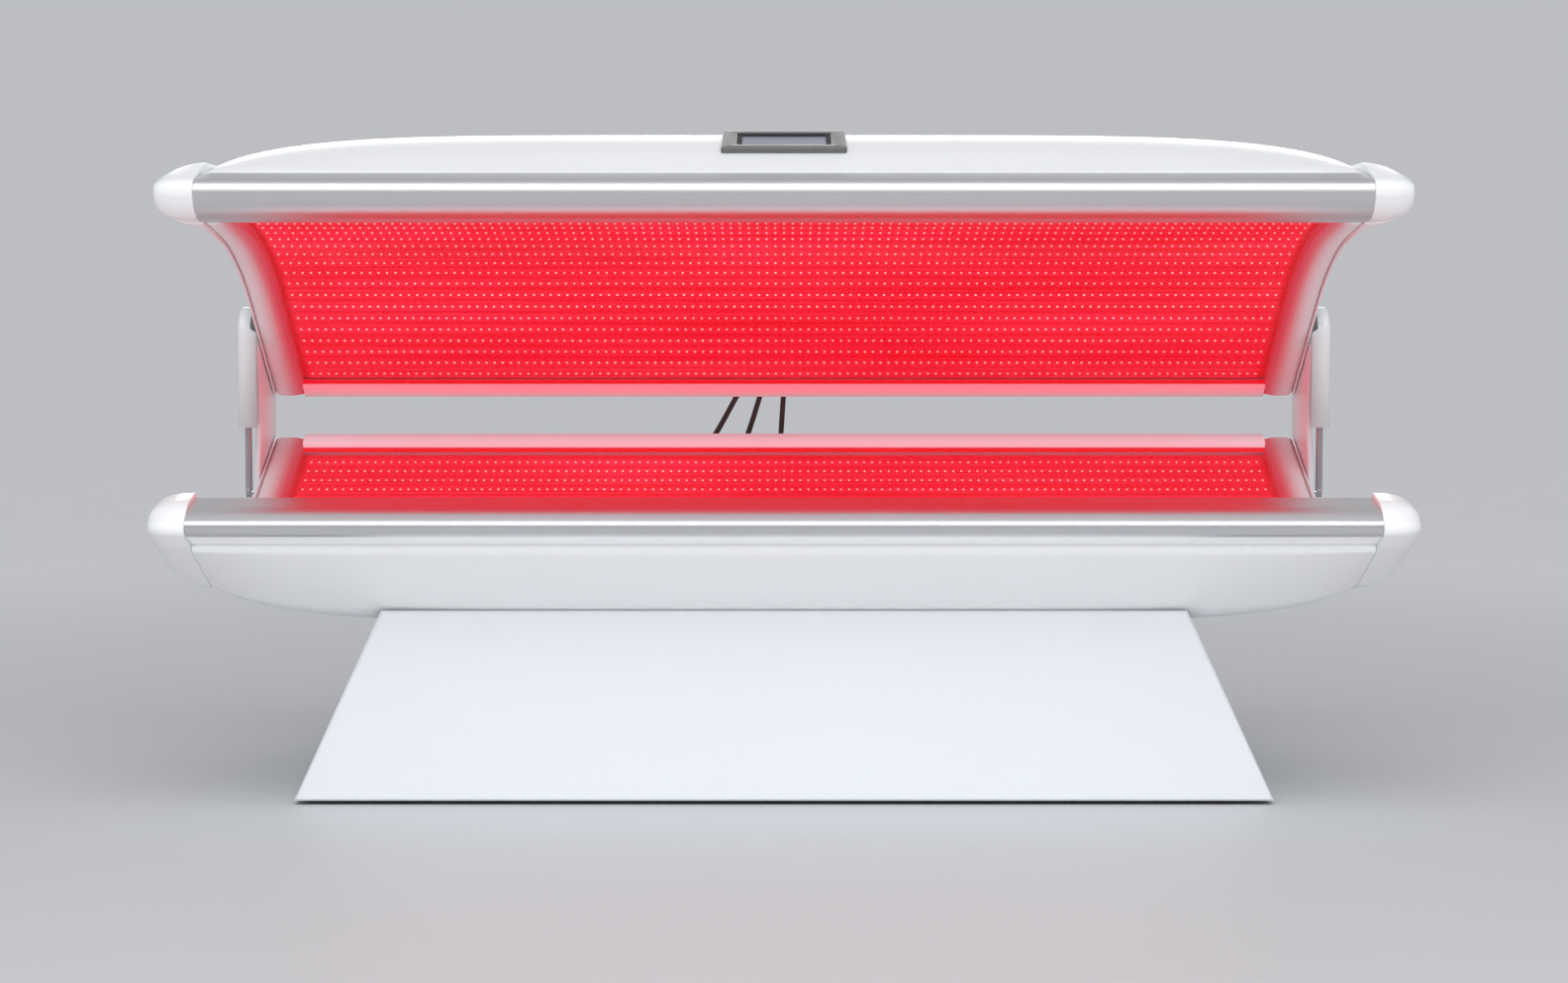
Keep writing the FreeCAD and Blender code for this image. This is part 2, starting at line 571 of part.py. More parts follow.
def build_canopy():
    """The canopy half: shell, caps, rails, arches, acrylic, LED tray and boards, ribs."""
    skin("canopy_shell", dome_path, -size("shell_wall"))
    rail("canopy_front_rail", BROW_RAIL, -size("rail_wall"))
    rear = rear_rail(VAULT, -size("brow_rail_proud"), size("rear_rail_deep"))
    prism("canopy_rear_rail", [rear], FIELD_START, FIELD_LENGTH)
    field = cut_ends(VAULT, 0, size("rear_rail_front") + GAP)
    prism("canopy_acrylic", [band(field, 0, size("acrylic_thick"))], FIELD_START, FIELD_LENGTH)
    tray_low = size("tray_gap")
    tray = band(field, tray_low, tray_low + size("tray_thick"))
    prism("canopy_led_tray", [tray], FIELD_START, FIELD_LENGTH)
    boards("canopy_led_boards", field, tray_low - size("board_thick") - GAP)
    ribs("canopy_ribs", canopy_rib_outline)
    arch = band(VAULT, -size("arch_proud"), tray_low + size("tray_thick"))
    end_path = dome_path(RAIL_HALF)
    rim = offset(VAULT, -size("arch_proud"))
    plate = end_path + cut_ends(rim, size("plate_start"), 0)[::-1]
    inner_y, inner_z, _ = along(rim, size("canopy_horn_reach"), 0)
    crown = end_path[1][1]
    horn = BROW_RAIL[:3] + [(size("canopy_horn_crown_d") - DEPTH / 2, crown, size("canopy_horn_radius")),
                            (inner_y, crown, size("horn_radius")), (inner_y, inner_z, size("horn_radius")),
                            rim[0]]
    centre = at(size("canopy_horn_mid_d"), size("canopy_horn_mid_w"))
    fan_y, fan_z, _ = at(size("canopy_fan_d"), size("canopy_fan_w"))
    rows = [row - (size("vent_rows") - 1) / 2 for row in range(int(size("vent_rows")))]
    vents = [(fan_y, fan_z + row * size("vent_pitch")) for row in rows]
    for name, side in SIDES:
        side_prism(f"canopy_{name}_arch", side, [arch], ARCH_START, "Sizes.arch_width")
        cap(f"canopy_{name}_cap", side, horn, centre, plate, vents)


# Hinge posts, covers, pins, levers and gas struts

POST_INNER = END_START[:-1] + " + Sizes.plate_wall + Sizes.post_gap)"
POST_OUTER = END_START[:-1] + " + Sizes.plate_wall + Sizes.post_gap + Sizes.post_thick)"
PLATE_OUTER = END_START[:-1] + " + Sizes.plate_wall)"
POST_FACE = RAIL_HALF + size("plate_wall") + size("post_gap") + size("post_thick")
PIVOT = at(PIVOT_D, size("pivot_w"))[:2]
LEVER_END = (PIVOT[0] - size("lever_back"), PIVOT[1] + size("lever_up"))
STRUT_FOOT = (LEVER_END[0], LEVER_END[1] - size("strut_length"))
STRUT_X = POST_FACE + size("strut_offset")


def rectangle(low, high, radius=0.0):
    """Rectangular outline between two corners."""
    return [(low[0], low[1], radius), (high[0], low[1], radius), (high[0], high[1], radius),
            (low[0], high[1], radius)]


def disc(centre, radius):
    """Round outline: a square whose corners are rounded until they meet."""
    y, z = centre
    return rectangle((y - radius, z - radius), (y + radius, z + radius), radius)


def slot(start, end, radius):
    """Rounded bar outline round two points."""
    lean = Vector(end[0] - start[0], end[1] - start[1], 0).normalize() * radius
    rise = Vector(-lean.y, lean.x, 0)
    corner_radius = radius * NEARLY_ROUND
    return [(start[0] - lean.x - rise.x, start[1] - lean.y - rise.y, corner_radius),
            (end[0] + lean.x - rise.x, end[1] + lean.y - rise.y, corner_radius),
            (end[0] + lean.x + rise.x, end[1] + lean.y + rise.y, corner_radius),
            (start[0] - lean.x + rise.x, start[1] - lean.y + rise.y, corner_radius)]


def post_outline():
    """Hinge post from the side: a C that is set back at its waist and rounded at its top."""
    front = PIVOT_D - size("post_depth") * size("post_front_share")
    rear = front + size("post_depth")
    back = size("post_set_back")
    sweep, crown, foot = size("post_sweep"), size("post_crown"), size("post_foot_radius")
    low, top = size("post_foot_w"), size("post_top_w")
    waist = (low + top) / 2
    return [at(front, low, foot), at(rear, low, foot), at(rear + back, waist, sweep), at(rear, top, crown),
            at(front, top, crown), at(front + back, waist, sweep)]


def bolt_places():
    """The two bolts of a post, in the side plane."""
    z = STRUT_FOOT[1] + size("bolt_rise")
    return [(PIVOT[0] - size("bolt_front"), z), (PIVOT[0] + size("bolt_rear"), z)]


def build_post(name, side):
    """One hinge post with its cover and strut; returns its bush, pin, lever and strut stud."""
    bolts = bolt_places()
    bush_radius = size("pin_radius") + size("running_gap") + size("bush_wall")
    holes = [disc(PIVOT, bush_radius + GAP / 6)]
    holes += [disc(place, size("bolt_radius") + GAP / 2) for place in bolts]
    blade = side_prism(f"{name}_post_blade", side, [post_outline()] + holes, POST_INNER, "Sizes.post_thick",
                       node=False)
    margin = size("seat_margin")
    (first_y, first_z), (last_y, last_z) = bolts
    low, high = (first_y - margin, first_z - margin), (last_y + margin, last_z + margin)
    pad = rectangle(low, high, size("seat_radius"))
    pad_holes = [disc(place, size("bolt_radius") + GAP / 2) for place in bolts]
    seat = side_prism(f"{name}_post_seat", side, [pad] + pad_holes, PLATE_OUTER, "Sizes.post_gap", node=False)
    join(f"{name}_hinge_post", [blade, seat])
    bush = [disc(PIVOT, bush_radius), disc(PIVOT, size("pin_radius") + size("running_gap"))]
    sleeve = side_prism(f"{name}_hinge_bush", side, bush, POST_INNER, "Sizes.post_thick", node=False)
    pin = side_prism(f"{name}_hinge_pin", side, [disc(PIVOT, size("pin_radius"))], PLATE_OUTER,
                     "Sizes.post_gap + Sizes.post_thick + Sizes.lever_gap", node=False)
    arm = side_prism(f"{name}_lever_arm", side, [slot(PIVOT, LEVER_END, size("lever_width") / 2)],
                     POST_OUTER[:-1] + " + Sizes.lever_gap)", "Sizes.lever_thick", node=False)
    stud_start = side * (POST_FACE + size("lever_gap") + size("lever_thick"))
    stud = rod((stud_start, *LEVER_END), (side, 0, 0), "Sizes.stud_radius",
               "Sizes.strut_offset - Sizes.lever_thick + Sizes.eye_thick / 2")
    lever = join(f"{name}_hinge_lever", [arm, stud], node=False)
    strut_stud = rod((side * POST_FACE, *STRUT_FOOT), (side, 0, 0), "Sizes.stud_radius",
                     "Sizes.strut_offset + Sizes.eye_thick / 2 + Sizes.lever_gap")
    build_cover(name, side)
    build_strut(name, side)
    return sleeve, pin, lever, strut_stud


def build_cover(name, side):
    """A moulded cover over the lever and the strut's upper end, with a lip in front of the post."""
    wall = size("cover_wall")
    front = PIVOT_D - size("cover_front")
    rear = PIVOT_D + size("cover_rear")
    low, top, radius = size("cover_low_w"), size("cover_top_w"), size("cover_radius")
    outside = [at(front, low), at(rear, low), at(rear, top, radius), at(front, top, radius)]
    inside = [at(front + wall, low - OVERRUN), at(rear - wall, low - OVERRUN),
              at(rear - wall, top - wall, radius - wall), at(front + wall, top - wall, radius - wall)]
    face = POST_OUTER[:-1] + " + Sizes.fit_gap)"
    full = side_prism(f"{name}_cover_full", side, [outside], face, "Sizes.cover_deep", node=False)
    room = side_prism(f"{name}_cover_room", side, [inside], face, "Sizes.cover_deep - Sizes.cover_wall",
                      node=False)
    edge = rectangle(at(front, low)[:2], at(front + wall, top - radius)[:2])
    lip = side_prism(f"{name}_cover_lip", side, [edge], POST_INNER, "Sizes.post_thick + Sizes.cover_deep / 2",
                     node=False)
    hood = cut(f"{name}_cover_hood", full, [room], node=False)
    join(f"{name}_post_cover", [hood, lip])


def build_strut(name, side):
    """A gas strut: a cylinder with an eye on the lower stud and a rod with an eye on the lever's stud."""
    y, z = STRUT_FOOT
    up = (0, 0, 1)
    across = (side, 0, 0)
    start = f"{STRUT_X - size('eye_thick') / 2}"
    low_eye = side_prism(f"{name}_low_eye", side, [disc(STRUT_FOOT, size("low_eye_radius"))], start,
                         "Sizes.eye_thick", node=False)
    barrel = rod((side * STRUT_X, y, z), up, "Sizes.strut_radius", "Sizes.strut_body")
    bore_start = (side * STRUT_X, y, z + size("bore_low"))
    bore = rod(bore_start, up, "Sizes.strut_bore", "Sizes.strut_body - Sizes.bore_low - Sizes.seal_long")
    neck = rod(bore_start, up, "Sizes.rod_radius + Sizes.running_gap", "Sizes.strut_body")
    hole_reach = max(size("strut_radius"), size("eye_thick") / 2) + OVERRUN
    low_hole = rod((side * (STRUT_X - hole_reach), y, z), across, "Sizes.stud_radius + Sizes.running_gap",
                   f"{2 * hole_reach}")
    body = join(f"{name}_barrel", [low_eye, barrel], node=False)
    cut(f"{name}_strut_cylinder", body, [bore, neck, low_hole])
    top = LEVER_END[1]
    top_eye = side_prism(f"{name}_top_eye", side, [disc(LEVER_END, size("eye_radius"))], start,
                         "Sizes.eye_thick", node=False)
    foot = (side * STRUT_X, y, top - size("rod_length"))
    stem = rod(foot, up, "Sizes.rod_radius", "Sizes.rod_length")
    piston = rod(foot, up, "Sizes.strut_bore - Sizes.running_gap", "Sizes.piston_long")
    top_hole = rod((side * (STRUT_X - hole_reach), y, top), across, "Sizes.stud_radius + Sizes.eye_slack",
                   f"{2 * hole_reach}")
    cut(f"{name}_strut_rod", join(f"{name}_stem", [top_eye, stem, piston], node=False), [top_hole])


def build_posts():
    """Both hinge posts, with their small parts grouped, and the bolts that hold the posts to the bed."""
    small_parts = [build_post(name, side) for name, side in SIDES]
    for label, pair in zip(("hinge_bushes", "hinge_pins", "hinge_levers", "strut_studs"), zip(*small_parts)):
        group(label, list(pair))
    items = []
    for name, side in SIDES:
        for place in bolt_places():
            head = rod((side * POST_FACE, *place), (side, 0, 0), "Sizes.bolt_head_radius",
                       "Sizes.bolt_head_high")
            shank = rod((side * (POST_FACE - size("post_thick") - size("post_gap")), *place), (side, 0, 0),
                        "Sizes.bolt_radius", "Sizes.post_thick + Sizes.post_gap")
            items.append(join(f"{name}_bolt", [head, shank], node=False))
    group("post_bolts", items)


# Plinth


def plinth_half(z):
    """Half width of the plinth's outside at a height."""
    return size("plinth_foot_half") - size("plinth_lean") * (z - size("panel_low"))


FRONT_Y = size("plinth_front_d") - DEPTH / 2
REAR_Y = DEPTH / 2 - size("plinth_rear_inset")
PAN_TOP = size("pan_bottom") + size("pan_thick")


def trapezoid(top, inset=0.0):
    """Plinth outline from the front, up to a height, drawn in by inset."""
    low = size("panel_low") + inset
    return [(-plinth_half(low) + inset, low, 0), (plinth_half(low) - inset, low, 0),
            (plinth_half(top) - inset, top - inset, 0), (-plinth_half(top) + inset, top - inset, 0)]


def build_panels():
    """Front, rear and side panels of the plinth."""
    middle = belly_path(0)
    shell_z = crossing(middle[1], middle[2], size("plinth_front_d") + size("panel_bevel"))
    front_top = shell_z - size("panel_top_gap")
    wires = []
    for inset, y in ((0.0, FRONT_Y + size("panel_bevel")), (size("bevel_in"), FRONT_Y)):
        corners = [Vector(x, y, z) for x, z, _ in trapezoid(front_top, inset)]
        wires.append(Part.makePolygon(corners + corners[:1]))
    shaped("plinth_front_panel", Part.makeLoft(wires, True, True))
    rear_top = BELLY - size("panel_top_gap")
    fan_x, fan_z = size("plinth_fan_x"), size("plinth_fan_z")
    openings = [disc((side * fan_x, fan_z), size("fan_bore")) for _, side in SIDES]
    for x, wide, high in ((size("switch_x"), size("switch_wide"), size("switch_high")),
                          (size("inlet_x"), size("inlet_wide"), size("inlet_high"))):
        openings.append(rectangle((x - wide / 2, size("switch_z") - high / 2),
                                  (x + wide / 2, size("switch_z") + high / 2)))
    prism("plinth_rear_panel", [trapezoid(rear_top)] + openings, f"{REAR_Y} - Sizes.panel_thick",
          "Sizes.panel_thick", plane="XZ_Plane")
    side_top = belly_path(plinth_half(BELLY))[2][1] - size("panel_top_gap")
    panels = []
    for name, side in SIDES:
        outer_low, outer_top = side * plinth_half(size("panel_low")), side * plinth_half(side_top)
        wall = side * size("panel_thick")
        outline = [(outer_low, size("panel_low"), 0), (outer_low - wall, size("panel_low"), 0),
                   (outer_top - wall, side_top, 0), (outer_top, side_top, 0)]
        long = f"{REAR_Y - FRONT_Y} - Sizes.panel_bevel - Sizes.panel_thick - 2 * Sizes.fit_gap"
        start = f"{FRONT_Y} + Sizes.panel_bevel + Sizes.fit_gap"
        panels.append(prism(f"plinth_{name}_panel", [outline], start, long, plane="XZ_Plane", node=False))
    group("plinth_side_panels", panels)


def frame_bars(wall):
    """The bars of the plinth frame, drawn in by wall: their outsides at 0, their bores at the tube's wall."""
    tube, half = size("tube"), size("frame_half")
    top = BELLY - GAP
    rows = (FRONT_Y + size("frame_inset"), REAR_Y - size("frame_inset") - tube)
    thick = f"Sizes.tube - {2 * wall}"
    open_end = OVERRUN if wall else 0
    bars = []
    for y in rows:
        for z in (PAN_TOP, top - tube):
            bars.append(block((f"-Sizes.frame_half - {open_end}", f"{y + wall}", f"{z + wall}"),
                              (f"2 * Sizes.frame_half + {2 * open_end}", thick, thick)))
        for x in (-half, -tube / 2, half - tube):
            bars.append(block((f"{x + wall}", f"{y + wall}", f"{PAN_TOP + wall}"),
                              (thick, thick, f"{top - PAN_TOP - 2 * wall}")))
    for x in (-half, half - tube):
        for z in (PAN_TOP, top - tube):
            bars.append(block((f"{x + wall}", f"{rows[0] + wall}", f"{z + wall}"),
                              (thick, f"{rows[1] - rows[0] + tube - 2 * wall}", thick)))
    return bars


def build_frame():
    """Welded tube frame, floor pan and feet."""
    cut("plinth_frame", join("plinth_bars", frame_bars(0), node=False), frame_bars(size("tube_wall")))
    pan_half = plinth_half(PAN_TOP) - size("panel_thick") - GAP
    pan_front, pan_rear = FRONT_Y + size("panel_bevel") + GAP, REAR_Y - size("panel_thick") - GAP
    keep(block((f"-{pan_half}", f"{pan_front}", "Sizes.pan_bottom"),
               (f"{2 * pan_half}", f"{pan_rear - pan_front}", "Sizes.pan_thick")), "plinth_floor_pan")
    feet = []
    for _, side in SIDES:
        for y in (pan_front + size("foot_inset_y"), pan_rear - size("foot_inset_y")):
            x = side * (pan_half - size("foot_inset_x"))
            pad = rod((x, y, 0), (0, 0, 1), "Sizes.foot_radius", "Sizes.pan_bottom / 2")
            stem = rod((x, y, 0), (0, 0, 1), "Sizes.foot_radius / 3", "Sizes.pan_bottom")
            feet.append(join("foot", [pad, stem], node=False))
    group("plinth_feet", feet)


def build_supplies():
    """LED power supplies in a row on the floor pan, and the control box beside them."""
    items = []
    for index in range(int(size("supply_count"))):
        x = (index - (size("supply_count") - 1) / 2) * size("supply_pitch") - size("supply_long") / 2
        items.append(block((f"{x}", "-Sizes.supply_wide / 2", f"{PAN_TOP}"),
                           ("Sizes.supply_long", "Sizes.supply_wide", "Sizes.supply_high")))
    group("led_power_supplies", items)
    control = block(("-Sizes.control_long / 2", "-Sizes.control_wide / 2", f"{PAN_TOP} + Sizes.supply_high"),
                    ("Sizes.control_long", "Sizes.control_wide", "Sizes.control_high"))
    keep(control, "control_box")


def fan_parts(label, place):
    """A square fan frame with its spider and shaft, and a rotor that turns on the shaft."""
    half, bar = size("fan_side") / 2, size("spoke_wide") / 2
    up = (0, 0, 1)
    case = block((f"-{half}", f"-{half}", "0"), ("Sizes.fan_side", "Sizes.fan_side", "Sizes.fan_deep"))
    bore = rod((0, 0, -OVERRUN), up, "Sizes.fan_bore", f"Sizes.fan_deep + {2 * OVERRUN}")
    ring = cut(f"{label}_case", case, [bore], node=False)
    spokes = [block((f"-{half}", f"-{bar}", "0"), ("Sizes.fan_side", "Sizes.spoke_wide", "Sizes.fan_spider")),
              block((f"-{bar}", f"-{half}", "0"), ("Sizes.spoke_wide", "Sizes.fan_side", "Sizes.fan_spider"))]
    disc_plate = rod((0, 0, 0), up, "Sizes.fan_hub", "Sizes.fan_spider")
    shaft = rod((0, 0, 0), up, "Sizes.shaft_radius", "Sizes.fan_deep - Sizes.shaft_end")
    frame = join(f"{label}_frame_part", [ring, disc_plate, shaft] + spokes, node=False)
    frame.Placement = place
    hub = rod((0, 0, size("fan_spider") + size("hub_gap")), up, "Sizes.fan_hub",
              "Sizes.fan_deep - Sizes.fan_spider - Sizes.hub_end")
    blades = []
    root = size("fan_hub") - size("blade_root")
    pitch = Rotation(Vector(1, 0, 0), size("blade_pitch"))
    middle = pitch.multVec(Vector(0, size("blade_wide") / 2, size("blade_thick") / 2))
    for index in range(int(size("fan_blades"))):
        turn = Rotation(Vector(0, 0, 1), index * 360 / size("fan_blades"))
        blade = doc.addObject("Part::Box", "blade")
        blade.setExpression("Length", "Sizes.fan_tip - Sizes.fan_hub + Sizes.blade_root")
        blade.setExpression("Width", "Sizes.blade_wide")
        blade.setExpression("Height", "Sizes.blade_thick")
        corner = Vector(root, 0, size("fan_deep") / 2) - middle
        blade.Placement = Placement(turn.multVec(corner), turn.multiply(pitch))
        blades.append(blade)
    wheel = join(f"{label}_wheel", [hub] + blades, node=False)
    hole = rod((0, 0, 0), up, "Sizes.shaft_radius + Sizes.running_gap", "Sizes.fan_deep")
    rotor = cut(f"{label}_rotor", wheel, [hole])
    rotor.Placement = place
    return frame


def build_fans():
    """Fans on the plinth's rear panel and in the canopy's ends."""
    frames = []
    back = Rotation(Vector(0, 0, 1), Vector(0, 1, 0))
    inner_y = REAR_Y - size("panel_thick") - size("fan_deep")
    for name, side in SIDES:
        spot = Vector(side * size("plinth_fan_x"), inner_y, size("plinth_fan_z"))
        frames.append(fan_parts(f"plinth_{name}_fan", Placement(spot, back)))
    group("plinth_fan_frames", frames)
    frames = []
    fan_y, fan_z, _ = at(size("canopy_fan_d"), size("canopy_fan_w"))
    for name, side in SIDES:
        spot = Vector(side * (RAIL_HALF - size("fan_deep") - GAP), fan_y, fan_z)
        outward = Rotation(Vector(0, 0, 1), Vector(side, 0, 0))
        frames.append(fan_parts(f"canopy_{name}_fan", Placement(spot, outward)))
    group("canopy_fan_frames", frames)
    guards = []
    for _, side in SIDES:
        pieces = []
        for index in range(int(size("hoop_count"))):
            hoop = doc.addObject("Part::Torus", "hoop")
            hoop.setExpression("Radius1", f"Sizes.hoop_first + {index} * Sizes.hoop_pitch")
            hoop.setExpression("Radius2", "Sizes.guard_wire")
            pieces.append(hoop)
        for spoke in (Vector(1, 0, 0), Vector(0, 1, 0)):
            start = spoke * (-size("fan_side") / 2)
            pieces.append(rod(tuple(start), tuple(spoke), "Sizes.guard_bar", "Sizes.fan_side"))
        guard = join("guard", pieces, node=False)
        guard_y = REAR_Y + size("guard_bar") + GAP / 3
        guard.Placement = Placement(Vector(side * size("plinth_fan_x"), guard_y, size("plinth_fan_z")), back)
        guards.append(guard)
    group("plinth_fan_guards", guards)


def build_inlet():
    """Power inlet and mains switch in the rear panel."""
    x, z = size("inlet_x"), size("switch_z")
    half, rise = size("inlet_wide") / 2, size("inlet_high") / 2
    rim, wall = size("inlet_rim"), size("inlet_wall")
    flange = block((f"{x - half - rim}", f"{REAR_Y}", f"{z - rise - rim}"),
                   (f"{2 * (half + rim)}", "Sizes.bezel_lip", f"{2 * (rise + rim)}"))
    body = block((f"{x - half + GAP}", f"{REAR_Y} - Sizes.inlet_deep", f"{z - rise + GAP}"),
                 (f"{2 * (half - GAP)}", "Sizes.inlet_deep", f"{2 * (rise - GAP)}"))
    well = block((f"{x - half + wall}", f"{REAR_Y + wall} - Sizes.inlet_deep", f"{z - rise + wall}"),
                 (f"{2 * (half - wall)}", "Sizes.inlet_deep", f"{2 * (rise - wall)}"))
    shell = cut("inlet_shell", join("inlet_block", [flange, body], node=False), [well], node=False)
    prong_y = f"{REAR_Y + wall} - Sizes.inlet_deep - Sizes.prong_seat"
    prongs = []
    for step in (-size("prong_pitch"), 0, size("prong_pitch")):
        prongs.append(block((f"{x + step} - Sizes.prong_wide / 2", prong_y, f"{z} - Sizes.prong_high / 2"),
                            ("Sizes.prong_wide", "Sizes.prong_long", "Sizes.prong_high")))
    join("power_inlet", [shell] + prongs)
    build_switch()


def build_switch():
    """Mains switch: a bezel in the rear panel and a rocker that tilts on two small pins."""
    x, z = size("switch_x"), size("switch_z")
    half, rise, rim = size("switch_wide") / 2, size("switch_high") / 2, size("bezel_rim")
    tilt = math.radians(size("rocker_tilt"))
    room_half = size("rocker_wide") / 2 + size("rocker_gap")
    room_rise = size("rocker_radius") + size("rocker_gap")
    flange = block((f"{x - half - rim}", f"{REAR_Y}", f"{z - rise - rim}"),
                   (f"{2 * (half + rim)}", "Sizes.bezel_lip", f"{2 * (rise + rim)}"))
    body = block((f"{x - half + GAP}", f"{REAR_Y} - Sizes.switch_deep", f"{z - rise + GAP}"),
                 (f"{2 * (half - GAP)}", "Sizes.switch_deep", f"{2 * (rise - GAP)}"))
    room = block((f"{x - room_half}", f"{REAR_Y} - Sizes.switch_room", f"{z - room_rise}"),
                 (f"{2 * room_half}", f"Sizes.switch_room + Sizes.bezel_lip + {OVERRUN}", f"{2 * room_rise}"))
    hole_half = half - OVERRUN
    pivot_hole = rod((x - hole_half, REAR_Y, z), (1, 0, 0), "Sizes.rocker_pin + Sizes.running_gap",
                     f"{2 * hole_half}")
    cut("switch_bezel", join("switch_block", [flange, body], node=False), [room, pivot_hole])
    root, root_half = size("rocker_root"), size("rocker_root_half")
    tip, tip_half = size("rocker_tip"), size("rocker_tip_half")
    paddle = ((-root, -root_half), (tip, -tip_half), (size("rocker_waist"), 0), (tip, tip_half),
              (-root, root_half))
    corners = []
    for reach, lift in paddle:
        corners.append((REAR_Y + reach * math.cos(tilt) - lift * math.sin(tilt),
                        z + reach * math.sin(tilt) + lift * math.cos(tilt), 0))
    cradle = prism("rocker_paddle", [corners], f"{x} - Sizes.rocker_wide / 2", "Sizes.rocker_wide",
                   node=False)
    pin_half = hole_half - size("rocker_pin_gap")
    pins = rod((x - pin_half, REAR_Y, z), (1, 0, 0), "Sizes.rocker_pin", f"{2 * pin_half}")
    join("mains_rocker", [cradle, pins])


# Display


def build_display():
    """Display pod on the dome: a bezel seated on the shell, and a screen let into it."""
    path = dome_path(0)
    reach = runs(path, closed=False)
    arc_end = reach[1][2]
    radius = size("dome_front_radius")
    y = size("display_mid_d") - DEPTH / 2
    slope = math.asin((arc_end[0] - y) / radius)
    z = arc_end[1] - radius + radius * math.cos(slope)
    tilt = Rotation(Vector(1, 0, 0), math.degrees(slope))
    deep_below = size("display_high") - size("display_rise")
    box = block(("0", "0", "0"), ("Sizes.display_wide", "Sizes.display_deep", "Sizes.display_high"))
    pocket = block(("(Sizes.display_wide - Sizes.screen_wide) / 2",
                    "(Sizes.display_deep - Sizes.screen_deep) / 2",
                    "Sizes.display_high - Sizes.screen_thick"),
                   ("Sizes.screen_wide", "Sizes.screen_deep", f"Sizes.screen_thick + {OVERRUN}"))
    slab = cut("display_slab", box, [pocket], node=False)
    corner = tilt.multVec(Vector(-size("display_wide") / 2, -size("display_deep") / 2, -deep_below))
    slab.Placement = Placement(Vector(0, y, z) + corner, tilt)
    outline = offset(path, GAP)
    solid = Part.Face(wire_at(outline, -size("display_wide"))).extrude(Vector(2 * size("display_wide"), 0, 0))
    dome = shaped("display_seat", solid, node=False)
    cut("display_bezel", slab, [dome])
    screen = doc.addObject("Part::Box", "screen")
    screen.setExpression("Length", "Sizes.screen_wide - 2 * Sizes.fit_gap")
    screen.setExpression("Width", "Sizes.screen_deep - 2 * Sizes.fit_gap")
    screen.setExpression("Height", "Sizes.screen_thick")
    lift = size("display_rise") - size("screen_thick")
    low = tilt.multVec(Vector(-size("screen_wide") / 2 + GAP, -size("screen_deep") / 2 + GAP, lift))
    screen.Placement = Placement(Vector(0, y, z) + low, tilt)
    keep(screen, "display_screen")


# Cables from the canopy to the bed, behind the rear gap

CABLE_ROUTES = {
    # Points behind the canopy and down to the bed: x, depth behind the rear, height above the belly
    "left": [(-38, -5, 427), (-38, 27, 427), (-50, 61.6, 407), (-78, 81, 365.3), (-120, 76, 287),
             (-150, 41.5, 240.8), (-150, -6.7, 216.5)],
    "middle": [(-17, -5, 427), (-17, 27, 427), (-24, 61.6, 407), (-39, 81, 365.3), (-63, 76, 287),
               (-80, 41.5, 240.8), (-80, -6.7, 216.5)],
    "right": [(4, -5, 427), (4, 27, 427), (3, 61.6, 407), (0, 81, 365.3), (-5, 76, 287),
              (-8, 41.5, 240.8), (-8, -6.7, 216.5)],
}


def tube_along(points, radius):
    """A round tube along straight runs joined by tangent arcs, with the arcs' radii."""
    edges, radii = [], []
    start = points[0]
    length = 0.0
    for before, corner, after in zip(points, points[1:], points[2:]):
        back, ahead = (before - corner), (after - corner)
        reach = size("cable_bend_share") * min(back.Length, ahead.Length)
        half = back.getAngle(ahead) / 2
        bend = reach * math.tan(half)
        enter, leave = corner + back.normalize() * reach, corner + ahead.normalize() * reach
        middle = corner + (back + ahead).normalize() * (bend / math.sin(half) - bend)
        edges += [Part.LineSegment(start, enter).toShape(), Part.Arc(enter, middle, leave).toShape()]
        length += (enter - start).Length + bend * (math.pi - 2 * half)
        radii.append(round(bend, 1))
        start = leave
    edges.append(Part.LineSegment(start, points[-1]).toShape())
    length += (points[-1] - start).Length
    section = Part.Wire(Part.Circle(points[0], points[1] - points[0], radius).toShape())
    tube = Part.Wire(edges).makePipeShell([section], True, True)
    return tube, radii, length


def build_cables():
    """Three cables with their glands on the canopy's rear wall and on the bed's rear wall."""
    canopy_glands, bed_glands = [], []
    rear_y = DEPTH / 2 - size("dome_rear_inset")
    for name, route in CABLE_ROUTES.items():
        points = [Vector(x, *at(DEPTH + behind, w)[:2]) for x, behind, w in route]
        tube, radii, length = tube_along(points, size("cable_radius"))
        expected = math.pi * size("cable_radius") ** 2 * length
        print(f"cable_{name} radii {radii} length {length:.1f} volume share {tube.Volume / expected:.4f}")
        shaped(f"cable_{name}", tube)
        first, last = points[0], points[-1]
        canopy_glands.append(rod((first.x, rear_y + GAP, first.z), (0, 1, 0), "Sizes.gland_radius",
                                 f"{first.y - rear_y - GAP}"))
        inward = (last - points[-2]).normalize()
        stern = belly_path(last.x)[4:6]
        run = Vector(0, stern[1][0] - stern[0][0], stern[1][1] - stern[0][1]).normalize()
        outward = Vector(0, run.z, -run.y)
        height = (last - Vector(last.x, stern[0][0], stern[0][1])).dot(outward)
        bed_glands.append(rod(tuple(last), tuple(inward), "Sizes.gland_radius", f"{height - GAP}"))
    group("canopy_glands", canopy_glands)
    group("bed_glands", bed_glands)


build_bed()
build_canopy()
build_posts()
build_panels()
build_frame()
build_supplies()
build_fans()
build_inlet()
build_display()
build_cables()
doc.recompute()

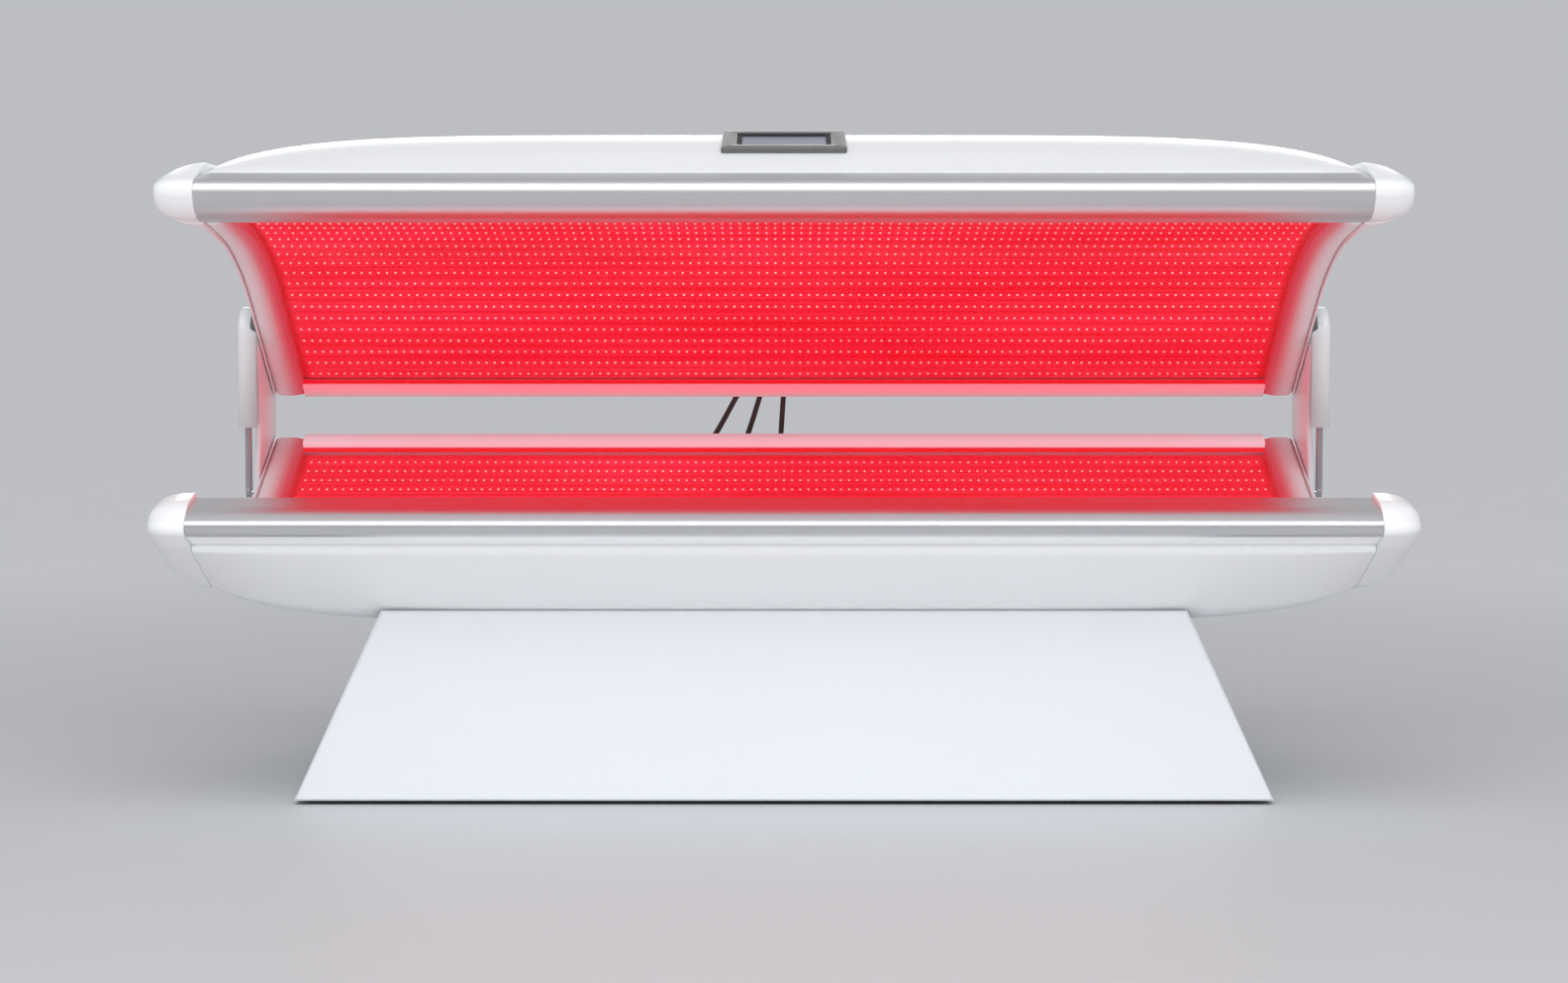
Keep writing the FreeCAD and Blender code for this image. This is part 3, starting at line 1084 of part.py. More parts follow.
failed = [item.Label for item in doc.Objects if "Invalid" in item.State or "Error" in item.State]
failed += [item.Label for item in NODES if item.Shape.isNull() or not item.Shape.isValid()]
if failed:
    raise RuntimeError(f"these objects failed: {failed}")
os.makedirs("parts", exist_ok=True)
for item in NODES:
    item.Shape.exportStep(f"parts/{item.Label}.step")
    print(item.Label, len(item.Shape.Solids), round(item.Shape.Volume / 1000, 1), "cm3")
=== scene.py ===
"""Looks of the red light therapy bed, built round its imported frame.

Side outlines are written as on a drawing, in millimetres: depth behind the bed's front nose, height above
the floor and the radius that rounds the corner. Every mesh is in metres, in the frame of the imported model,
and every object sits at the origin with its place in its mesh.
"""

import json
import logging
import math
from dataclasses import dataclass, replace
from enum import Enum
from typing import ClassVar, Optional, Sequence, Union

import bmesh
import bpy
import numpy as np
from bpy.types import Material, Mesh, Object
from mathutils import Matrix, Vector


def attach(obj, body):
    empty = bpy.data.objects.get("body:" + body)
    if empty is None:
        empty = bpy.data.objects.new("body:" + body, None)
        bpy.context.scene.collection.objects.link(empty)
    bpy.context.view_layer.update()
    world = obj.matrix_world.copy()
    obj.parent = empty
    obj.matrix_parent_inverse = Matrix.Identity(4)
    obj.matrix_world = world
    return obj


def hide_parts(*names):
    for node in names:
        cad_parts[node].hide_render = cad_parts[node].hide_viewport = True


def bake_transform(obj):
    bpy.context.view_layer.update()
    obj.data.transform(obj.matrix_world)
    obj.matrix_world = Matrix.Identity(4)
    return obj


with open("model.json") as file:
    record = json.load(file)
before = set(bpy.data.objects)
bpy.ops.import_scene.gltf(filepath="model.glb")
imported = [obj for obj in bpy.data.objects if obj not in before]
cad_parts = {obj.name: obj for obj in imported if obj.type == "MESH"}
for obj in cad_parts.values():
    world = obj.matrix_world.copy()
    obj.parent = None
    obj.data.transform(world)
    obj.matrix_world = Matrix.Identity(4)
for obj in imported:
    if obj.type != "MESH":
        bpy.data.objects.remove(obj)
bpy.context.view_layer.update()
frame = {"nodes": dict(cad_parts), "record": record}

Pair = tuple[float, float]
Triple = tuple[float, float, float]
Colour = Triple

LOG = logging.getLogger("red_light_bed")
MM = 0.001
HALF_DEPTH = 410.0  # from the front nose to the middle of the bed's depth
RAIL_HALF = 908.0  # half length of the rails and shells
FIELD_HALF = 855.7  # half length of the lit fields, between the arches
CAP_LENGTH = 62.0
PLATE_WALL = 3.0
PLATE_WELD = 1e-6  # metres
PLATE_SHARP = 50.0  # degrees
PLATE_STEPS = 2  # steps along a plate's rounded edge
SHARP = 35.0  # degrees


class Body(Enum):
    """Bodies of the frame that new pieces ride on."""

    BED = "bed"
    CANOPY = "canopy"


class Side(Enum):
    """Ends of the bed, as signs along X."""

    LEFT = -1
    RIGHT = 1


# Outlines


def side(depth: float, height: float, radius: float = 0.0) -> Triple:
    """A corner of a side outline as (y, z, radius)."""
    return depth - HALF_DEPTH, height, radius


def unit(vectors: np.ndarray) -> np.ndarray:
    """Vectors scaled to length one."""
    return vectors / np.linalg.norm(vectors, axis=-1, keepdims=True)


def rounded(corners: np.ndarray, closed: bool = True, steps: int = 8) -> np.ndarray:
    """Outline whose corners are rounded by arcs that are tangent to their two runs.

    An arc that turns by a about its centre c is c + r (sin((1 - t) a) p + sin(t a) q) / sin(a), where p and q
    point from the centre to its two ends and t runs from 0 to 1.

    Args:
        corners: Corners (y, z, radius) on the last two axes; further axes hold further outlines.
        closed: Whether the last corner runs back to the first.
        steps: Steps along each arc.

    Returns:
        Points (y, z) on the last two axes.
    """
    points = np.asarray(corners)[..., :2]
    radii = np.asarray(corners)[..., 2]
    count = points.shape[-2]
    share = np.linspace(0.0, 1.0, steps + 1)
    pieces = []
    for index in range(count):
        here, radius = points[..., index, :], radii[..., index, None]
        loose_end = not closed and index in (0, count - 1)
        if loose_end or not np.any(radius > 0):
            pieces.append(here[..., None, :])
            continue
        back = unit(points[..., index - 1, :] - here)
        ahead = unit(points[..., (index + 1) % count, :] - here)
        half = np.arccos(np.clip(np.sum(back * ahead, axis=-1, keepdims=True), -1, 1)) / 2
        turn = np.pi - 2 * half
        centre = here + unit(back + ahead) * radius / np.sin(half)
        first = unit(here + back * radius / np.tan(half) - centre)
        last = unit(here + ahead * radius / np.tan(half) - centre)
        lead = (np.sin((1 - share) * turn) / np.sin(turn))[..., None]
        trail = (np.sin(share * turn) / np.sin(turn))[..., None]
        spokes = lead * first[..., None, :] + trail * last[..., None, :]
        pieces.append(centre[..., None, :] + radius[..., None] * spokes)
    return np.concatenate(pieces, axis=-2)


def offset(corners: np.ndarray, shift: float, closed: bool = False) -> np.ndarray:
    """Outline moved to its left by shift, its runs kept parallel and its radii following.

    Args:
        corners: Corners (y, z, radius).
        shift: Distance to the left, in millimetres.
        closed: Whether the last corner runs back to the first.

    Returns:
        The moved corners.
    """
    corners = np.asarray(corners, float)
    points = corners[:, :2]
    run = unit(np.roll(points, -1, axis=0) - points)
    ahead = np.stack([-run[:, 1], run[:, 0]], axis=1)
    back = np.roll(ahead, 1, axis=0)
    if not closed:
        ahead[-1] = back[-1]
        back[0] = ahead[0]
    spread = shift / (1 + np.sum(back * ahead, axis=1))
    turn = back[:, 0] * ahead[:, 1] - back[:, 1] * ahead[:, 0]
    radius = np.where(corners[:, 2] > 0, np.maximum(corners[:, 2] - shift * np.sign(turn), 1.0), 0.0)
    return np.column_stack([points + (back + ahead) * spread[:, None], radius])


def reaches(points: np.ndarray) -> np.ndarray:
    """Distance of each point along its line."""
    return np.concatenate([[0.0], np.cumsum(np.linalg.norm(np.diff(points, axis=0), axis=1))])


def along(points: np.ndarray, reach: np.ndarray) -> np.ndarray:
    """Points at given distances along a line."""
    lengths = reaches(points)
    return np.stack([np.interp(reach, lengths, points[:, axis]) for axis in range(points.shape[1])], axis=-1)


def normals(points: np.ndarray) -> np.ndarray:
    """Unit normals to the left of a line in the side plane."""
    run = unit(np.gradient(points, axis=0))
    return np.stack([-run[:, 1], run[:, 0]], axis=1)


TROUGH = np.array([side(88.3, 484), side(409, 399, 450), side(739, 560)])
VAULT = np.array([side(164.2, 917), side(408, 878, 600), side(738, 638)])
BED_RAIL = np.array([side(88, 492, 2), side(27, 478, 60), side(-10, 446, 14), side(51, 422, 3),
                     side(88, 436, 3)])
BROW_RAIL = np.array([side(163.8, 918, 2), side(104, 922, 48), side(76, 976, 22), side(163.8, 996, 2)])
FIELD_END = 30.3  # the lit field stops this far before the end of its path, at the rear rail
FINE = 20  # steps along the large arcs
MEDIUM = 10  # steps along the corners of horns and covers


# Meshes


def grid_faces(rows: int, columns: int, wrap: bool = False) -> np.ndarray:
    """Quads of a grid of points.

    Args:
        rows: Rows of points.
        columns: Points in a row.
        wrap: Whether each row closes on itself.

    Returns:
        Point numbers, four to a face.
    """
    index = np.arange(rows * columns).reshape(rows, columns)
    if wrap:
        index = np.concatenate([index, index[:, :1]], axis=1)
    corners = [index[:-1, :-1], index[:-1, 1:], index[1:, 1:], index[1:, :-1]]
    return np.stack(corners, axis=-1).reshape(-1, 4)


def smooth(mesh: Mesh, sharp: float) -> None:
    """Shades a mesh smooth; edges that turn by more than this many degrees stay sharp."""
    mesh.shade_smooth()
    mesh.set_sharp_from_angle(angle=math.radians(sharp))


def make_mesh(name: str, points: np.ndarray, faces: Sequence, sharp: float = SHARP,
              recalculate: bool = True) -> Mesh:
    """A smooth-shaded mesh from points in millimetres.

    Args:
        name: Name of the mesh.
        points: Points (x, y, z) on the last axis, in millimetres.
        faces: Point numbers of each face.
        sharp: Edges that turn by more than this many degrees stay sharp.
        recalculate: Whether to turn the faces outwards, for a closed shape.

    Returns:
        The mesh, in metres.
    """
    mesh = bpy.data.meshes.new(name)
    mesh.from_pydata((points.reshape(-1, 3) * MM).tolist(), [], faces)
    if recalculate:
        turn_outwards(mesh)
    smooth(mesh, sharp)
    return mesh


def turn_outwards(mesh: Mesh, weld: float = 0.0) -> None:
    """Merges doubled points, if a distance is given, and turns the faces of closed shapes outwards."""
    work = bmesh.new()
    work.from_mesh(mesh)
    if weld:
        bmesh.ops.remove_doubles(work, verts=work.verts, dist=weld)
    bmesh.ops.recalc_face_normals(work, faces=work.faces)
    work.to_mesh(mesh)
    work.free()


def at_x(outline: np.ndarray, x: Union[float, np.ndarray]) -> np.ndarray:
    """Side outline points (y, z) set at x."""
    across = np.broadcast_to(np.asarray(x, float)[..., None], outline.shape[:-1] + (1,))
    return np.concatenate([across, outline], axis=-1)


def ringed(name: str, rings: np.ndarray, loop: bool = False, sharp: float = SHARP) -> Mesh:
    """A closed shape through rings of points.

    Args:
        name: Name of the mesh.
        rings: Points (x, y, z) of each ring, in millimetres.
        loop: Whether the last ring runs back to the first; otherwise a flat face closes each end.
        sharp: Edges that turn by more than this many degrees stay sharp.

    Returns:
        The mesh.
    """
    count, columns = rings.shape[:2]
    faces = grid_faces(count + loop, columns, wrap=True) % (count * columns)
    ends = [] if loop else [list(range(columns)), list(range((count - 1) * columns, count * columns))]
    return make_mesh(name, rings, faces.tolist() + ends, sharp)


def add_spline(curve: bpy.types.Curve, kind: str, points: np.ndarray) -> bpy.types.Spline:
    """Adds a spline of points (x, y, z)."""
    spline = curve.splines.new(kind)
    spline.points.add(len(points) - 1)
    spline.points.foreach_set("co", np.column_stack([points, np.ones(len(points))]).ravel())
    return spline


def mesh_of(curve: bpy.types.Curve) -> tuple[Mesh, np.ndarray]:
    """The mesh that a curve makes, and its points; the curve is removed."""
    carrier = bpy.data.objects.new(curve.name, curve)
    mesh = bpy.data.meshes.new_from_object(carrier)
    bpy.data.objects.remove(carrier)
    bpy.data.curves.remove(curve)
    points = np.empty(len(mesh.vertices) * 3, np.float32)
    mesh.vertices.foreach_get("co", points)
    return mesh, points.reshape(-1, 3)


def plate(name: str, outlines: Sequence[np.ndarray], start: float, end: float, edge: float) -> Mesh:
    """A flat plate across X with rounded edges, cut from an outline and the holes in it.

    Args:
        name: Name of the mesh.
        outlines: Points (y, z) of the outside, then of each hole.
        start: The face nearer to the low end of X.
        end: The other face.
        edge: Radius of the rounded edges.

    Returns:
        The plate's mesh.
    """
    curve = bpy.data.curves.new(name, "CURVE")
    curve.dimensions = "2D"
    curve.fill_mode = "BOTH"
    for outline in outlines:
        spline = add_spline(curve, "POLY", np.column_stack([outline * MM, np.zeros(len(outline))]))
        spline.use_cyclic_u = True
    curve.extrude = (abs(end - start) / 2 - edge) * MM
    curve.bevel_depth = edge * MM
    curve.bevel_resolution = PLATE_STEPS
    curve.offset = -edge * MM
    mesh, flat = mesh_of(curve)
    turned = np.column_stack([flat[:, 2] + (start + end) / 2 * MM, flat[:, 0], flat[:, 1]])
    mesh.vertices.foreach_set("co", turned.astype(np.float32).ravel())
    turn_outwards(mesh, weld=PLATE_WELD)
    smooth(mesh, PLATE_SHARP)
    return mesh


def carried(name: str, path: np.ndarray, section: np.ndarray) -> Mesh:
    """A closed section carried along a path in the side plane.

    The point of a section's corner (x, o) at the path's point p is p moved by o along the path's normal
    there, at x. The first section is slid along the path until it stands upright.

    Args:
        name: Name of the mesh.
        path: Points (y, z) of the path.
        section: Points (x, o) of the section, where o is the distance to the left of the path.

    Returns:
        The mesh, closed at both ends.
    """
    lift = normals(path)
    places = path[:, None, :] + lift[:, None, :] * section[None, :, 1:]
    slope = (path[1, 1] - path[0, 1]) / (path[1, 0] - path[0, 0])
    places[0, :, 1] += slope * (path[0, 0] - places[0, :, 0])
    places[0, :, 0] = path[0, 0]
    return ringed(name, at_x(places, section[:, 0]))


def rounded_box(low: Sequence[float], high: Sequence[float], radius: float) -> np.ndarray:
    """Points of a rounded rectangle between two corners."""
    corners = [(low[0], low[1], radius), (high[0], low[1], radius), (high[0], high[1], radius),
               (low[0], high[1], radius)]
    return rounded(np.array(corners))


def disc(centre: Sequence[float], radius: float, count: int = 32) -> np.ndarray:
    """Points of a circle."""
    angle = np.linspace(0, 2 * np.pi, count, endpoint=False)
    return np.column_stack([centre[0] + radius * np.cos(angle), centre[1] + radius * np.sin(angle)])


# Shader maths

Value = Union["Sock", float]
UNLIT: Colour = (0.0, 0.0, 0.0)
LIT_BASE: Colour = (0.12, 0.004, 0.006)  # own colour of what the lamps flood with red
TRAY_RED: Colour = (0.74, 0.0, 0.01)


class Sock:
    """A shader socket; an operator on it adds a Math node to its shader."""

    def __init__(self, shader: "Shader", socket: Optional[bpy.types.NodeSocket]) -> None:
        """Wraps an output socket of one of the shader's nodes."""
        self.shader = shader
        self.socket = socket

    def math(self, operation: str, *values: Value) -> "Sock":
        """The result of a Math node."""
        return self.shader.node("ShaderNodeMath", {"operation": operation}, values)

    def __add__(self, other: Value) -> "Sock":
        """This plus a value."""
        return self.math("ADD", self, other)

    def __sub__(self, other: Value) -> "Sock":
        """This less a value."""
        return self.math("SUBTRACT", self, other)

    def __rsub__(self, other: Value) -> "Sock":
        """A value less this."""
        return self.math("SUBTRACT", other, self)

    def __mul__(self, other: Value) -> "Sock":
        """This times a value."""
        return self.math("MULTIPLY", self, other)

    def __pow__(self, other: Value) -> "Sock":
        """This to a power."""
        return self.math("POWER", self, other)

    def __abs__(self) -> "Sock":
        """The size of this."""
        return self.math("ABSOLUTE", self)

    def ramp(self, low: float, high: float) -> "Sock":
        """0 at low and 1 at high, smooth between and clamped beyond."""
        settings = {"interpolation_type": "SMOOTHSTEP"}
        values = {"Value": self, "From Min": low, "From Max": high}
        return self.shader.node("ShaderNodeMapRange", settings, values)


class Shader:
    """The node tree of one material."""

    def __init__(self, name: str) -> None:
        """Starts an empty material."""
        self.material = bpy.data.materials.new(name)
        self.material.use_nodes = True
        self.tree = self.material.node_tree
        self.tree.nodes.clear()

    def node(self, kind: str, settings: Optional[dict] = None, values: Union[dict, Sequence] = (),
             out: Union[int, str] = 0) -> Sock:
        """Adds a node.

        Args:
            kind: The node's type.
            settings: Its settings, which are set first.
            values: The value or link of each input, by name or number, or in order.
            out: Name or number of the output that is wanted.

        Returns:
            That output, which is empty for a node with none.
        """
        node = self.tree.nodes.new(kind)
        for key, value in (settings or {}).items():
            setattr(node, key, value)
        pairs = values.items() if isinstance(values, dict) else enumerate(values)
        for key, value in pairs:
            if isinstance(value, Sock):
                self.tree.links.new(value.socket, node.inputs[key])
            else:
                node.inputs[key].default_value = value
        return Sock(self, node.outputs[out] if node.outputs else None)

    def place(self, scale: Triple = (1.0, 1.0, 1.0)) -> Sock:
        """Object coordinates in metres, scaled along each axis."""
        spot = self.node("ShaderNodeTexCoord", out="Object")
        return self.node("ShaderNodeVectorMath", {"operation": "MULTIPLY"}, (spot, scale))

    def axes(self, vector: Sock) -> tuple[Sock, Sock, Sock]:
        """The three numbers of a vector."""
        parts = self.node("ShaderNodeSeparateXYZ", values=(vector,)).socket.node.outputs
        return Sock(self, parts[0]), Sock(self, parts[1]), Sock(self, parts[2])

    def noise(self, spot: Sock, detail: float = 3.0) -> Sock:
        """Noise of one cell to a unit, about 0.5."""
        return self.node("ShaderNodeTexNoise", values={"Vector": spot, "Scale": 1.0, "Detail": detail})

    def mix(self, share: Value, first: Union[Sock, Colour], second: Union[Sock, Colour]) -> Sock:
        """A blend of two colours."""
        first, second = (item if isinstance(item, Sock) else (*item, 1.0) for item in (first, second))
        return self.node("ShaderNodeMix", {"data_type": "RGBA"}, {0: share, 6: first, 7: second}, out=2)

    def bump(self, height: Sock, depth: float) -> Sock:
        """A normal that follows a height of 0 to 1, for a depth in metres."""
        return self.node("ShaderNodeBump", values={"Distance": depth, "Height": height})

    def close(self, surface: Sock) -> Material:
        """Ends the tree with its surface and gives the material."""
        self.node("ShaderNodeOutputMaterial", values={"Surface": surface})
        return self.material


# Finishes


@dataclass(frozen=True)
class Finish:
    """A finish with the unevenness of a real surface.

    Broad noise lets the colour drift; fine noise, stretched along the way the surface was worked, spreads its
    roughness and lifts it.
    """

    name: str
    slot: str
    colour: Colour
    roughness: float
    metallic: float = 0.0
    coat: float = 0.0
    grain: Triple = (260.0, 260.0, 260.0)  # cells of fine noise in a metre along X, Y and Z
    spread: float = 0.08
    drift: float = 0.04
    lift: float = 0.0  # metres
    gloss: float = 0.5  # level of the surface's own mirror

    DRIFT_CELLS: ClassVar[Triple] = (3.0, 5.0, 5.0)
    COAT_ROUGHNESS: ClassVar[float] = 0.06

    def material(self) -> Material:
        """The finish's material, made when it is first asked for."""
        made = bpy.data.materials.get(self.name)
        return made if made else self.make()

    def make(self) -> Material:
        """Makes the material."""
        shader = Shader(self.name)
        return shader.close(self.surface(shader))

    def tone(self, shader: Shader) -> Sock:
        """The colour, a little lighter and darker from place to place."""
        broad = shader.noise(shader.place(self.DRIFT_CELLS))
        dark = tuple(part * (1 - self.drift) for part in self.colour)
        light = tuple(min(1.0, part * (1 + self.drift)) for part in self.colour)
        return shader.mix(broad, dark, light)

    def metal(self, shader: Shader) -> Value:
        """How far the surface is metal."""
        return self.metallic

    def surface(self, shader: Shader) -> Sock:
        """The surface that the light meets."""
        grain = shader.noise(shader.place(self.grain))
        values = {"Base Color": self.tone(shader), "Metallic": self.metal(shader), "Coat Weight": self.coat,
                  "Coat Roughness": self.COAT_ROUGHNESS, "Specular IOR Level": self.gloss,
                  "Roughness": grain * self.spread + (self.roughness - self.spread / 2)}
        if self.lift:
            values["Normal"] = shader.bump(grain, self.lift)
        return shader.node("ShaderNodeBsdfPrincipled", values=values)


@dataclass(frozen=True)
class LipFinish(Finish):
    """Bare metal above a lip that is painted white."""

    lip: Colour = (0.96, 0.965, 0.975)
    lip_top: float = 0.4355  # metres
    lip_edge: float = 0.001

    def bare(self, shader: Shader) -> Sock:
        """1 on the bare metal, 0 on the lip."""
        return shader.axes(shader.place())[2].ramp(self.lip_top, self.lip_top + self.lip_edge)

    def tone(self, shader: Shader) -> Sock:
        """The metal's colour, and white on the lip."""
        return shader.mix(self.bare(shader), self.lip, super().tone(shader))

    def metal(self, shader: Shader) -> Sock:
        """Metal all over apart from the lip."""
        return self.bare(shader) * self.metallic


@dataclass(frozen=True)
class LitFinish(Finish):
    """A surface that the lamps flood with red, in long faint streaks along the rows.

    Streak noise, drawn out along X, moves the glow from its deep red to its light red; broad noise adds slow
    patches to that share. Beside the arches the glow dims to a darker red: painted shade.
    """

    gloss: float = 0.0  # the acrylic in front has the gloss
    deep: Colour = (0.78, 0.002, 0.016)
    light: Colour = (0.9, 0.02, 0.05)
    # painted shade: the darker red that the glow dims to beside the arches, where they shade the field
    painted_edge_shade: Colour = (0.56, 0.0, 0.004)
    streak: Triple = (2.2, 210.0, 210.0)  # cells in a metre

    PATCH_CELLS: ClassVar[Triple] = (1.6, 4.0, 4.0)
    PATCH_SHARE: ClassVar[float] = 0.9
    NOISE_SPAN: ClassVar[Pair] = (0.25, 0.8)  # noise at which the glow is all deep, and all light
    EDGE_SHADE_SPAN: ClassVar[Pair] = (0.84, 0.852)  # painted shade: the glow dims from here to here, beside the arches

    def glow(self, shader: Shader) -> Sock:
        """The colour of the light that leaves the surface, dimmed beside the arches by painted shade."""
        streaks = shader.noise(shader.place(self.streak), 2.0)
        patches = shader.noise(shader.place(self.PATCH_CELLS), 1.0)
        share = (streaks + (patches - 0.5) * self.PATCH_SHARE).ramp(*self.NOISE_SPAN)
        across, _, _ = shader.axes(shader.place())
        field = shader.mix(share, self.deep, self.light)
        return shader.mix(abs(across).ramp(*self.EDGE_SHADE_SPAN), field, self.painted_edge_shade)

    def surface(self, shader: Shader) -> Sock:
        """A dark surface under its own glow."""
        values = {"Base Color": (*self.colour, 1.0), "Roughness": self.roughness,
                  "Specular IOR Level": self.gloss,
                  "Emission Color": self.glow(shader), "Emission Strength": 1.0}
        return shader.node("ShaderNodeBsdfPrincipled", values=values)


@dataclass(frozen=True)
class LensFinish(LitFinish):
    """Lamp lenses: whitish pink, a little brighter and duller from lamp to lamp."""

    def make(self) -> Material:
        """Makes the material and leaves its many small lights out of the light sampling."""
        material = super().make()
        material.cycles.emission_sampling = "NONE"
        return material


@dataclass(frozen=True)
class ClearFinish(Finish):
    """Clear acrylic: it shows what is behind it, has a faint haze and mirrors more at a glancing angle."""

    HAZE: ClassVar[float] = 0.025  # share that scatters
    MIRROR: ClassVar[float] = 0.008  # share that is mirrored straight on
    GLANCE: ClassVar[float] = 0.012  # share that a glancing view adds
    SLANT_POWER: ClassVar[float] = 5.0

    def surface(self, shader: Shader) -> Sock:
        """A hazy film mixed with a mirror, whose share is m + g f^5 for the slant f of the view."""
        grain = shader.noise(shader.place(self.grain))
        gloss = {"Color": (*self.colour, 1.0), "Roughness": grain * self.spread + self.roughness}
        clear = shader.node("ShaderNodeBsdfTransparent")
        haze = shader.node("ShaderNodeBsdfDiffuse", values={"Color": (*self.colour, 1.0)})
        slant = shader.node("ShaderNodeLayerWeight", values={"Blend": 0.5}, out="Facing")
        sides = {0: slant ** self.SLANT_POWER * self.GLANCE + self.MIRROR,
                 1: shader.node("ShaderNodeMixShader", values={0: self.HAZE, 1: clear, 2: haze}),
                 2: shader.node("ShaderNodeBsdfGlossy", values=gloss)}
        return shader.node("ShaderNodeMixShader", values=sides)


@dataclass(frozen=True)
class SpillFinish(Finish):
    """A pale piece beside the lit field, with the field's red light painted on the side towards it.

    A painted red tint in its colour and a painted glow are whole up to one place along an axis and fall to
    none at another, both by the distance from the frame's origin.
    """

    # painted light: the glow is painted red light given off by the piece, the tint below is painted red light
    # in its colour
    glow: Colour = (0.16, 0.002, 0.008)
    painted_spill_tint: Colour = (0.55, 0.1, 0.14)
    axis: int = 0  # X is 0, Y is 1, Z is 2
    whole: float = 0.858  # metres
    none: float = 0.896

    def reach(self, shader: Shader, whole: float, none: float) -> Sock:
        """Falls from 1 at a place along the axis to 0 at another."""
        return 1 - abs(shader.axes(shader.place())[self.axis]).ramp(whole, none)

    def tints(self, shader: Shader) -> tuple[Sock, Sock]:
        """The piece's own colour with painted red light as a tint on its inner side, and the painted glow."""
        share = self.reach(shader, self.whole, self.none)
        return shader.mix(share, self.tone(shader), self.painted_spill_tint), shader.mix(share, UNLIT, self.glow)

    def surface(self, shader: Shader) -> Sock:
        """The surface with its painted red tint and painted glow, and its grain."""
        base, glow = self.tints(shader)
        grain = shader.noise(shader.place(self.grain))
        values = {"Base Color": base, "Roughness": grain * self.spread + self.roughness,
                  "Emission Color": glow, "Emission Strength": 1.0}
        return shader.node("ShaderNodeBsdfPrincipled", values=values)


@dataclass(frozen=True)
class SunkFinish(SpillFinish):
    """A rear rail with painted red light: the side of it that lies behind the clear acrylic is painted as red
    as the field.
    """

    axis: int = 2
    sunk: float = 0.659  # metres
    shown: float = 0.656

    def tints(self, shader: Shader) -> tuple[Sock, Sock]:
        """The rail's colour and painted glow, with the field's colour and glow painted on its sunk side."""
        base, glow = super().tints(shader)
        share = self.reach(shader, self.sunk, self.shown)
        return shader.mix(share, base, LIT_BASE), shader.mix(share, glow, TRAY_RED)


@dataclass(frozen=True)
class StageFinish(Finish):
    """Pale paper with a faint glow that grows away from the middle, so that the sweep stays as light."""

    glow: Colour = (0.142, 0.143, 0.148)
    near: float = 1.2  # metres
    far: float = 5.0

    def surface(self, shader: Shader) -> Sock:
        """The paper and its glow, by the distance (x^2 + y^2)^0.5 from the middle."""
        x, y, _ = shader.axes(shader.place())
        share = ((x * x + y * y) ** 0.5).ramp(self.near, self.far)
        values = {"Base Color": self.tone(shader), "Roughness": self.roughness,
                  "Emission Color": shader.mix(share, UNLIT, self.glow), "Emission Strength": 1.0}
        return shader.node("ShaderNodeBsdfPrincipled", values=values)


DRAWN = {"colour": (0.73, 0.735, 0.75), "roughness": 0.3, "metallic": 1.0, "grain": (1.5, 900.0, 900.0),
         "spread": 0.14, "drift": 0.03, "lift": 1.5e-5}
WHITE_SHELL = Finish("moulded_white", "white_shell", (0.86, 0.87, 0.885), 0.30, coat=0.35, spread=0.1,
                     drift=0.015, lift=2e-5, grain=(420.0, 420.0, 420.0))
SATIN_ALUMINIUM = Finish("drawn_aluminium", "satin_aluminium", **DRAWN)
LIPPED_ALUMINIUM = LipFinish("lipped_aluminium", "satin_aluminium", **DRAWN)
BROW_ALUMINIUM = replace(SATIN_ALUMINIUM, name="brushed_aluminium", roughness=0.4)
# The rear rails carry painted red light from the field: a painted glow and a painted pink tint in their
# colour.
VAULT_REAR = SunkFinish("vault_rear_aluminium", "satin_aluminium", (0.78, 0.78, 0.79), 0.46, spread=0.1,
                        grain=(1.5, 700.0, 700.0), glow=(0.34, 0.0, 0.02), painted_spill_tint=(0.8, 0.56, 0.64),
                        whole=0.652, none=0.632)
TROUGH_REAR = replace(VAULT_REAR, name="trough_rear_aluminium", glow=(0.27, 0.2, 0.25),
                      painted_spill_tint=(0.8, 0.78, 0.79), whole=0.556, none=0.574, sunk=0.543, shown=0.546)
LIT_TRAY = LitFinish("lit_tray", "sheet_aluminium", LIT_BASE, 0.5, deep=TRAY_RED, light=(0.84, 0.006, 0.026))
LIT_BOARD = LitFinish("lit_board", "board", LIT_BASE, 0.5)
LAMP_LENS = LensFinish("lamp_lens", "board", (0.8, 0.3, 0.3), 0.2, deep=(1.0, 0.33, 0.38),
                       light=(1.0, 0.6, 0.62), streak=(60.0, 60.0, 60.0))
CLEAR_ACRYLIC = ClearFinish("clear_acrylic", "lit_acrylic", (1.0, 0.96, 0.96), 0.05, spread=0.03)
# The arches carry painted red light from the field on their inner sides: a painted glow and a painted red
# tint.
ARCH_WHITE = SpillFinish("arch_moulding", "arch_white", (0.8, 0.8, 0.82), 0.32)
SHEET_METAL = Finish("folded_sheet", "sheet_aluminium", (0.72, 0.73, 0.74), 0.38, metallic=1.0,
                     grain=(40.0, 700.0, 700.0), spread=0.2)
WHITE_PAINT = Finish("sprayed_white", "white_paint", (0.80, 0.83, 0.875), 0.34, spread=0.1, drift=0.012,
                     lift=4e-5, grain=(520.0, 520.0, 520.0), coat=0.15)
FRAME_PAINT = Finish("frame_grey", "frame_paint", (0.28, 0.29, 0.3), 0.5, spread=0.15, lift=6e-5)
BLACK_RUBBER = Finish("cable_rubber", "black_rubber", (0.05, 0.013, 0.015), 0.5, spread=0.2, drift=0.2,
                      lift=3e-5)
BLACK_PLASTIC = Finish("moulded_black", "black_plastic", (0.022, 0.022, 0.024), 0.42, spread=0.16, drift=0.15,
                       lift=5e-5, grain=(900.0, 900.0, 900.0))
